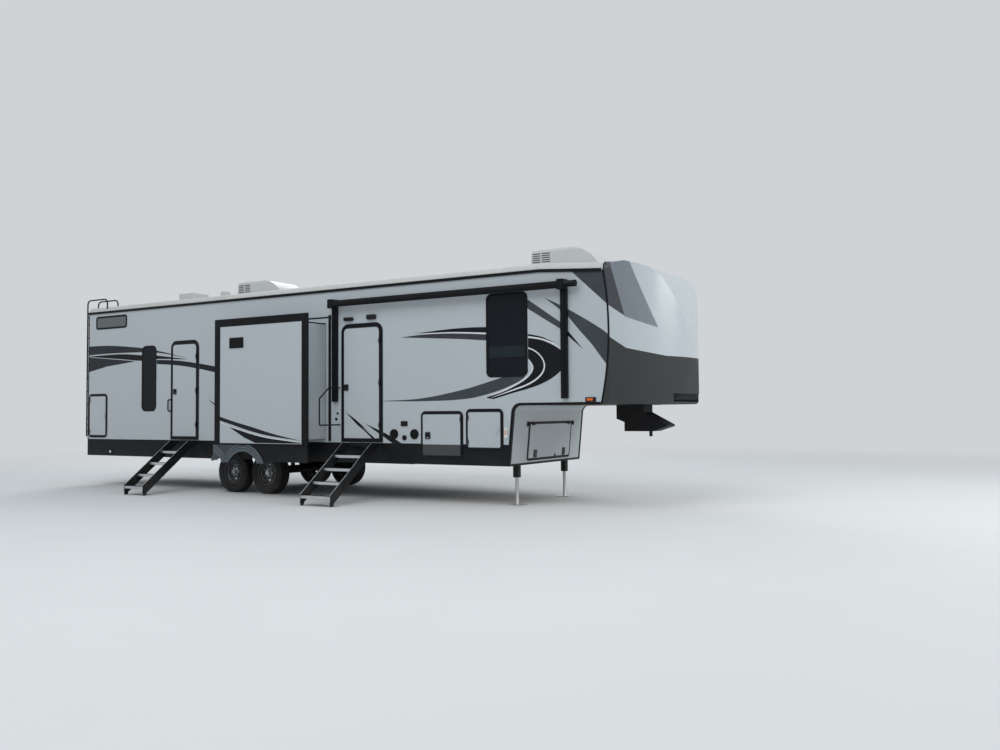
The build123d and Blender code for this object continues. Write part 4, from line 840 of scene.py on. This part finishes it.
# Wheels: bead rings, valve and the flats of the nuts
for wheel, (ahead, side) in WHEELS.items():
    centre = at(ahead, 0, AXLE_Z)
    outward = Vector((0, side, 0))
    bm = bmesh.new()
    add_turned(bm, centre, outward, [(0.062, RIM), (0.062, 1.106), (0.056, 1.11), (0.05, 1.106), (0.05, RIM)],
               48, ends=False)
    for k in range(6):
        angle = 2 * pi * k / 6
        spot = centre + Vector((0.078 * cos(angle), 0, 0.078 * sin(angle)))
        add_turned(bm, spot, outward, [(0.013, RIM), (0.013, 1.103), (0.0108, 1.104)], 12)
        add_turned(bm, spot, outward, [(0.0085, 1.122), (0.008, 1.126), (0.005, 1.1285)], 12)
    piece("nuts_" + wheel, bm, bright_mat, "wheel_" + wheel)
    bm = bmesh.new()
    spot = centre + Vector((0.158 * sin(0.4), 0, 0.158 * cos(0.4)))
    add_turned(bm, spot, outward, [(0.006, 1.098), (0.005, 1.118), (0.0062, 1.119), (0.0062, 1.132),
                                   (0.004, 1.134)], 10)
    for k in range(6):
        angle = 2 * pi * (k + 0.5) / 6
        inner = centre + Vector((0.096 * cos(angle), side * 1.1015, 0.096 * sin(angle)))
        outer = centre + Vector((0.112 * cos(angle), side * 1.1015, 0.112 * sin(angle)))
        add_bar(bm, inner, outer, 0.03, 0.003, (-sin(angle), 0, cos(angle)))
    piece("valve_" + wheel, bm, plastic_mat, "wheel_" + wheel)

# Entry steps: bright nosings, studs on the treads, and bright strips along the side plates that are painted
# highlights of their edges
FLIGHTS = {"main": (7.36, 0.3), "rear": (3.05, 0.245)}
STEP_TOPS = [(1.65 + 0.26 * count, 0.755 - 0.2 * count) for count in range(4)]
for name, (middle, half) in FLIGHTS.items():
    bm = bmesh.new()
    low_x, high_x = middle - half, middle + half
    for out, top in STEP_TOPS:
        add_box(bm, low_x + 0.001, high_x - 0.001, -out - 0.003, -out, top - 0.038, top + 0.003)
        add_box(bm, low_x + 0.001, high_x - 0.001, -out, -out + 0.042, top, top + 0.003)
        for rib in range(4):
            y = -out + 0.006 + 0.01 * rib
            add_box(bm, low_x + 0.01, high_x - 0.01, y, y + 0.004, top + 0.003, top + 0.0045)
    # Painted highlight: bright strips down the edges of the dark side plates and at their feet
    for side in (-1, 1):
        x = middle + side * (half + 0.005)
        add_bar(bm, at(x, -1.44, 0.9475), at(x, -2.436, 0.1822), 0.0104, 0.005, (1, 0, 0))
        add_box(bm, x - 0.0052, x + 0.0052, -2.4415, -2.4395, 0.075, 0.17)
    piece("nosings_and_edge_highlights_" + name, bm, bright_mat, bevel=0.0006)
    bm = bmesh.new()
    for out, top in STEP_TOPS:
        for row in range(3):
            for column in range(12):
                x = low_x + 0.04 + (2 * half - 0.08) * (column + 0.5 * (row % 2)) / 11.5
                add_turned(bm, at(x, -out + 0.07 + 0.04 * row, top), (0, 0, 1),
                           [(0.009, 0), (0.008, 0.0015), (0.004, 0.002)], 8)
    piece("studs_" + name, bm, step_mat)
    bm = bmesh.new()
    for side in (-1, 1):
        x = middle + side * (half + 0.01)
        for out, top in STEP_TOPS:
            for shift in (0.035, 0.12):
                add_turned(bm, at(x, -out + shift, top - 0.02), (side, 0, 0),
                           [(0.009, 0), (0.009, 0.004), (0.005, 0.006)], 6)
        add_turned(bm, at(x, -1.3, 0.915), (side, 0, 0), [(0.016, 0), (0.016, 0.006), (0.01, 0.01)], 12)
    piece("step_bolts_" + name, bm, tube_mat)

# Curb side fittings: speaker cones, cable port, outlet cover and locks
FITTING = -HALF - 0.014
for index, x in enumerate((8.39, 7.98)):
    bm = bmesh.new()
    face = at(x, FITTING, 1.1)
    outward = (0, -1, 0)
    add_turned(bm, face, outward, [(0.079, 0), (0.079, 0.004), (0.074, 0.006), (0.07, 0.003), (0.07, 0)],
               48, ends=False)
    for radius in (0.02, 0.032, 0.044, 0.056):
        outer, inner = radius + 0.0022, radius - 0.0022
        add_turned(bm, face, outward, [(outer, 0), (outer, 0.004), (inner, 0.004), (inner, 0)], 36, ends=False)
    add_turned(bm, face, outward, [(0.013, 0), (0.013, 0.004), (0.009, 0.008), (0.004, 0.009)], 24)
    for k in range(12):
        angle = 2 * pi * k / 12
        spoke = Vector((cos(angle), 0, sin(angle)))
        add_bar(bm, face + spoke * 0.012 + Vector((0, -0.003, 0)), face + spoke * 0.071 + Vector((0, -0.003, 0)),
                0.003, 0.003)
    piece("speaker_%d" % index, bm, plastic_mat)
bm = bmesh.new()
port = at(8.19, FITTING, 1.04)
add_turned(bm, port, (0, -1, 0), [(0.04, 0), (0.04, 0.004), (0.032, 0.006)], 6)
add_turned(bm, port, (0, -1, 0), [(0.018, 0.006), (0.018, 0.01), (0.012, 0.011)], 24)
add_box(bm, 8.125, 8.245, FITTING - 0.004, FITTING, 1.236, 1.29)
add_box(bm, 8.13, 8.24, FITTING - 0.006, FITTING, 1.293, 1.303)
piece("port_covers", bm, plastic_mat, bevel=0.001)

# Latches: a lock in each, and the pull of the paddle. Side, middle of the latch ahead and Z, width and height
LATCHES = [
    ("main_door", -1, 6.978, 1.88, 0.09, 0.108), ("rear_door", -1, 2.69, 1.885, 0.09, 0.108),
    ("baggage_door_front", -1, 9.955, 1.175, 0.07, 0.11), ("baggage_door_middle", -1, 8.66, 1.08, 0.1, 0.112),
    ("baggage_door_rear", -1, 0.545, 1.43, 0.07, 0.11), ("street_baggage_door", 1, 8.66, 1.08, 0.1, 0.112),
]
for door, side, x, z, width, height in LATCHES:
    face = side * LATCH
    bm = bmesh.new()
    add_turned(bm, at(x, face, z - 0.3 * height), (0, side, 0), [(0.01, 0), (0.01, 0.003), (0.008, 0.004)], 20)
    piece("lock_" + door, bm, bright_mat if "baggage" in door else tube_mat, door)
    bm = bmesh.new()
    add_box(bm, x - 0.36 * width, x + 0.36 * width, face, face + side * 0.006, z - 0.12 * height, z + 0.34 * height)
    pale_latch = door in ("baggage_door_front", "baggage_door_rear")
    piece("pull_" + door, bm, wall_mat if pale_latch else plastic_mat, door, bevel=0.002)
bm = bmesh.new()
for x, z, radius in ((6.774, 1.444, 0.011), (6.748, 1.348, 0.012)):
    proud = 0.008 if z > 1.4 else 0.012
    add_turned(bm, at(x, -HALF - proud, z), (0, -1, 0), [(radius, 0), (radius, 0.002), (radius * 0.8, 0.003)], 20)
piece("wall_locks", bm, tube_mat)

# Sliding panes: the bar that meets across the bedroom window, on both sides
bm = bmesh.new()
for side, low_x, high_x, z in ((-1, 9.796, 10.454, 2.27), (1, 10.186, 10.844, 2.4)):
    add_box(bm, low_x, high_x, side * 1.2231, side * 1.2265, z - 0.012, z + 0.012)
piece("window_bars", bm, trim_mat, bevel=0.001)

# Awning: rails and knobs on the arms, straps round the roller and a bar along it
ARMS = (6.74, 11.12)
ARM_FACE = -1.28
bm = bmesh.new()
for x in ARMS:
    add_box(bm, x - 0.024, x + 0.024, ARM_FACE - 0.01, ARM_FACE, 1.7, 3.22)
    add_turned(bm, at(x, ARM_FACE - 0.01, 1.82), (0, -1, 0), [(0.02, 0), (0.02, 0.012), (0.014, 0.016)], 20)
    add_box(bm, x - 0.03, x + 0.03, ARM_FACE - 0.016, ARM_FACE, 1.655, 1.7)
piece("awning_rails", bm, tube_mat, bevel=0.0015)
bm = bmesh.new()
for x in (6.84, 7.6, 8.93, 10.26, 11.02):
    add_turned(bm, at(x, -1.34, 3.31), (1, 0, 0), [(0.0553, 0), (0.0562, 0.002), (0.0562, 0.022), (0.0553, 0.024)],
               40, ends=False)
add_box(bm, 6.8, 11.06, -1.3985, -1.3945, 3.268, 3.276)
piece("awning_straps", bm, plastic_mat)

# Screws along the gutter rails, the awning arms and the slide-outs' flanges
bm = bmesh.new()
for side in (-1, 1):
    for count in range(36):
        x = 0.15 + 0.3 * count
        add_screw(bm, at(x, side * (HALF + 0.022), 3.557), (0, side, 0), 0.005, 0.0015)
for x in ARMS:
    for z in (1.67, 2.2, 2.8, 3.35):
        for shift in (-0.036, 0.036):
            add_screw(bm, at(x + shift, ARM_FACE, z), (0, -1, 0))
piece("rail_screws", bm, tube_mat)
for body, (side, face, (flange_low, flange_high)) in FLANGES.items():
    bm = bmesh.new()
    first, last = flange_low + 0.045, flange_high - 0.045
    columns = int((flange_high - flange_low) / 0.3)
    for count in range(columns + 1):
        add_screw(bm, at(first + (last - first) * count / columns, side * face, 3.095), (0, side, 0))
    for count in range(7):
        for x in (first, last):
            add_screw(bm, at(x, side * face, 1.05 + 0.3 * count), (0, side, 0))
    piece("flange_screws_" + body, bm, tube_mat, body)

# Fenders: the moulding's outer lip and its raised ribs, the ribs a paler grey that is a painted highlight, split
# where the curb slide-out carries them
FENDER_LIP = 0.545
FENDER_RIBS = (0.4235, 0.451, 0.486, 0.53)
FENDER_FACE = 0.0245
FENDER_FOOT = 0.21
FENDER_TOP = 0.9
LEAST_ARC = 0.1


def arc_angles(radius, ahead, low_x, high_x):
    """Angles from upright between which an arc round a wheel stays on the moulding."""
    foot = acos(FENDER_FOOT / radius)
    inner = min(foot, asin(min(1.0, (MIDWAY - AXLES[0]) / radius)))
    low, high = (-foot, inner) if ahead < MIDWAY else (-inner, foot)
    low = max(low, asin(max(-1.0, min(1.0, (low_x - ahead) / radius))))
    high = min(high, asin(max(-1.0, min(1.0, (high_x - ahead) / radius))))
    return low, high


def add_arc(bm, ahead, radii, angles, near, far, steps=28):
    """Curved bar round a wheel between two radii and two faces, cut level with the top of the fender."""
    corners = ((radii[0], near), (radii[1], near), (radii[1], far), (radii[0], far))
    rings = []
    for step in range(steps + 1):
        angle = angles[0] + (angles[1] - angles[0]) * step / steps
        rings.append([at(ahead + radius * sin(angle), y, min(AXLE_Z + radius * cos(angle), FENDER_TOP))
                      for radius, y in corners])
    add_skin(bm, rings)


for name, body, side, back, low_x, high_x in (
    ("curb", BODY, -1, HALF, 3.0, 4.334), ("slide", "curb_slide", -1, FLANGE, 4.34, 6.56),
    ("street", BODY, 1, HALF, 3.0, 6.5),
):
    face = side * (back + FENDER_FACE)
    lip, ribs = bmesh.new(), bmesh.new()
    for ahead in AXLES:
        low, high = arc_angles(FENDER_LIP, ahead, low_x, high_x)
        low, high = (low, min(0.0, high)) if ahead < MIDWAY else (max(0.0, low), high)
        if low_x < ahead < high_x + 0.3 and high - low > LEAST_ARC:
            add_arc(lip, ahead, (0.4995, FENDER_LIP), (low, high), side * back, face)
        for radius in FENDER_RIBS:
            low, high = arc_angles(radius, ahead, low_x, high_x)
            if high - low > LEAST_ARC:
                add_arc(ribs, ahead, (radius - 0.005, radius + 0.005), (low, high), face, face + side * 0.004)
    if lip.faces:
        piece("fender_lip_" + name, lip, fender_mat, body)
    else:
        lip.free()
    piece("fender_ribs_" + name, ribs, rib_highlight_mat, body)


# Bulkhead: black trims along its edges, brackets at the door's top corners and bezels round its latches
def on_bulkhead(y, up, off):
    """A place on the leaning bulkhead: across, up its face from the foot, and off it."""
    return at(FOOT_X + up * sin(LEAN) + off * cos(LEAN), y, FOOT_Z + up * cos(LEAN) - off * sin(LEAN))


def add_plate(bm, y_low, y_high, up_low, up_high, off_low, off_high):
    """Block on the bulkhead's face."""
    add_block(bm, [on_bulkhead(y, up, off) for y in (y_low, y_high) for up in (up_low, up_high)
                   for off in (off_low, off_high)])


edge_line = [(FOOT_X, FOOT_Z), (10.23, 1.4265)]
edge_line += [(10.3535 - 0.1235 * cos(pi * k / 16), 1.4265 + 0.1235 * sin(pi * k / 16)) for k in range(1, 9)]
edge_line.append((11.67, 1.55))
bm = bmesh.new()
for y_low, y_high in ((-1.2235, -1.172), (1.172, 1.2235)):
    rings = []
    for k, (x, z) in enumerate(edge_line):
        before, after = edge_line[max(k - 1, 0)], edge_line[min(k + 1, len(edge_line) - 1)]
        off = Vector((after[1] - before[1], 0, before[0] - after[0])).normalized() * 0.004
        rings.append([at(x, y, z) + off * level
                      for y, level in ((y_low, 0), (y_high, 0), (y_high, 1), (y_low, 1))])
    add_skin(bm, rings)
add_plate(bm, -1.172, 1.172, 0.0, 0.034, 0.0, 0.004)
piece("bulkhead_trims", bm, trim_mat)
bm = bmesh.new()
for y_low, y_high, up_low, up_high in ((-0.76, -0.694, 0.6, 0.68), (0.804, 0.88, 0.605, 0.678)):
    add_plate(bm, y_low, y_high, up_low, up_high, 0.0, 0.01)
    add_plate(bm, y_low + 0.016, y_high - 0.016, up_low + 0.02, up_high - 0.02, 0.01, 0.022)
piece("bin_brackets", bm, plastic_mat, bevel=0.003)
bm = bmesh.new()
for y in (-0.44, 0.557):
    add_plate(bm, y - 0.052, y + 0.052, 0.106, 0.23, BIN_FACE + 0.0001, 0.018)
add_plate(bm, 0.22, 0.266, 0.1015, 0.14, BIN_FACE + 0.0001, 0.016)
piece("bin_bezels", bm, plastic_mat, "bin_door", bevel=0.003)

# Lamps: the black bezels round the marker lamps beside the seam
bm = bmesh.new()
for side in (-1, 1):
    add_box(bm, 11.438, 11.606, side * HALF, side * (HALF + 0.01), 1.588, 1.654)
piece("marker_bezels", bm, plastic_mat, bevel=0.006)

# Slide-outs: black seals where the rooms' sides leave the wall and meet the flange
for body, (side, travel, (low_x, high_x)) in ROOMS.items():
    bm = bmesh.new()
    outer = side * (HALF + 0.006 + travel)
    inner = outer - side * 0.024
    for x in (low_x - 0.004, high_x):
        add_box(bm, x, x + 0.004, inner, outer, 1.012, 3.0)
    add_box(bm, low_x, high_x, inner, outer, 3.0, 3.004)
    for x in (low_x - 0.002, high_x):
        add_box(bm, x, x + 0.002, side * (HALF + 0.007), inner, 2.978, 2.998)
    piece("room_seals_" + body, bm, trim_mat, body)
    bm = bmesh.new()
    add_box(bm, low_x - 0.07, high_x + 0.072, side * HALF, side * (HALF + 0.001), 3.086, 3.114)
    piece("opening_trim_" + body, bm, trim_mat)

# Rear end: corner mouldings, bumper caps and ladder feet
bm = bmesh.new()
for side in (-1, 1):
    add_box(bm, -0.003, 0.0, side * (HALF - 0.03), side * (HALF + 0.002), 0.95, 3.52)
    add_box(bm, 0.0, 0.03, side * HALF, side * (HALF + 0.002), 0.95, 3.52)
piece("corner_mouldings", bm, trim_mat)
bm = bmesh.new()
for side in (-1, 1):
    add_box(bm, -0.112, -0.008, side * 1.12, side * 1.124, 0.668, 0.772)
for z in (1.24, 2.36, 3.48):
    for y in (-1.19, -0.94):
        add_box(bm, -0.006, 0.0, y - 0.028, y + 0.028, z - 0.028, z + 0.028)
piece("bumper_caps", bm, plastic_mat, bevel=0.0015)

# Pin box and frame: bolt heads and spring bolts
bm = bmesh.new()
for side in (-1, 1):
    for x, z in ((11.66, 1.47), (11.82, 1.47), (11.66, 1.34), (11.82, 1.34), (12.06, 1.2), (11.75, 1.18)):
        add_turned(bm, at(x, side * 0.18, z), (0, side, 0), [(0.016, 0), (0.016, 0.008), (0.013, 0.01)], 6)
    for x in (3.88, 4.64, 5.4):
        for face in (-1, 1):
            add_turned(bm, at(x, side * RAIL_Y + face * 0.03, 0.53), (0, face, 0),
                       [(0.016, 0), (0.016, 0.01), (0.012, 0.013)], 6)
    for x in AXLES:
        for shift in (-0.032, 0.032):
            for face in (-1, 1):
                spot = at(x + shift, side * RAIL_Y + face * 0.024, 0.405)
                add_turned(bm, spot, (0, 0, 1), [(0.005, 0), (0.005, 0.048)], 8)
piece("frame_bolts", bm, steel_mat)
bm = bmesh.new()
for side in (-1, 1):
    for x in (-1, 1):
        for y in (-1, 1):
            add_turned(bm, at(LEG_X + 0.085 * x, side * LEG_Y + 0.085 * y, 0.012), (0, 0, 1),
                       [(0.012, 0), (0.012, 0.005), (0.009, 0.007)], 6)
    for z in (0.14, 0.22, 0.3):
        add_turned(bm, at(LEG_X, side * LEG_Y - 0.0262, z), (0, -1, 0), [(0.008, 0), (0.008, 0.0006)], 16)
piece("leg_bolts", bm, bright_mat)

# Stage: floor, world, lights and camera
bm = bmesh.new()
bm.faces.new([bm.verts.new((x, y, 0.0)) for x, y in ((-200, -200), (200, -200), (200, 200), (-200, 200))])
mesh = bpy.data.meshes.new("floor_plane")
bm.to_mesh(mesh)
bm.free()
ground = bpy.data.objects.new("ground", mesh)
scene.collection.objects.link(ground)
ground_paint = Paint("ground_pale", (0.66, 0.67, 0.67), 0.9, 0.0, 0.1)
ground_paint.mottle(0.6, 0.3, (0.62, 0.63, 0.63))
far = ground_paint.node("ShaderNodeEmission", {"Color": (*HAZE, 1)})
distance = ground_paint.node("ShaderNodeVectorMath", {0: ground_paint.coords}, operation="LENGTH").outputs["Value"]
fade = ground_paint.node("ShaderNodeMapRange", {"From Min": 9.0, "From Max": 24.0, "Value": distance},
                         interpolation_type="SMOOTHSTEP")
ground_paint.show(fade.outputs[0], ground_paint.shader.outputs[0], far.outputs[0], "Material Output")
mesh.materials.append(ground_paint.material)

world = bpy.data.worlds.new("studio")
scene.world = world
world.use_nodes = True
sky = Nodes(world.node_tree)
background = world.node_tree.nodes["Background"]
sky.feed(background, "Color", (0.8, 0.86, 0.92, 1))
sky.feed(background, "Strength", 0.62)
pale = sky.node("ShaderNodeBackground", {"Color": (*HAZE, 1), "Strength": 1.0})
rays = sky.node("ShaderNodeLightPath").outputs
seen = sky.chain("MAXIMUM", [rays[kind] for kind in ("Is Camera Ray", "Is Glossy Ray", "Is Transmission Ray")])
sky.show(seen, background.outputs[0], pale.outputs[0], "World Output")


def area_light(name, place, target, size, power, colour=(1, 1, 1)):
    light = bpy.data.lights.new(name, "AREA")
    light.size = size
    light.energy = power
    light.color = colour
    lamp = bpy.data.objects.new(name, light)
    lamp.location = place
    lamp.rotation_euler = (Vector(target) - Vector(place)).to_track_quat("-Z", "Y").to_euler()
    scene.collection.objects.link(lamp)


area_light("key", (4, -15, 17), (0, 0, 1.5), 14, 1800, (0.98, 0.99, 1.0))
area_light("front", (20, 2, 9), (6, 0, 2.5), 9, 1500)
area_light("back", (-12, 14, 14), (0, 0, 1.5), 12, 1500)

# The camera that was fitted to the photo
yaw, pitch, roll = radians(30.663), radians(2.287), radians(-0.415)
forward = Vector((-sin(yaw) * cos(pitch), cos(yaw) * cos(pitch), sin(pitch)))
right = Vector((cos(yaw), sin(yaw), 0))
up = right.cross(forward)
right, up = right * cos(roll) + up * sin(roll), up * cos(roll) - right * sin(roll)
turn = Matrix((right, up, -forward)).transposed().to_4x4()
camera_data = bpy.data.cameras.new("camera")
camera_data.lens = 32.85
camera_data.sensor_width = 36
camera_data.clip_end = 300
camera = bpy.data.objects.new("camera", camera_data)
camera.matrix_world = Matrix.Translation((10.828, -13.222, 1.457)) @ turn
scene.collection.objects.link(camera)
scene.camera = camera
scene.view_settings.view_transform = "Standard"
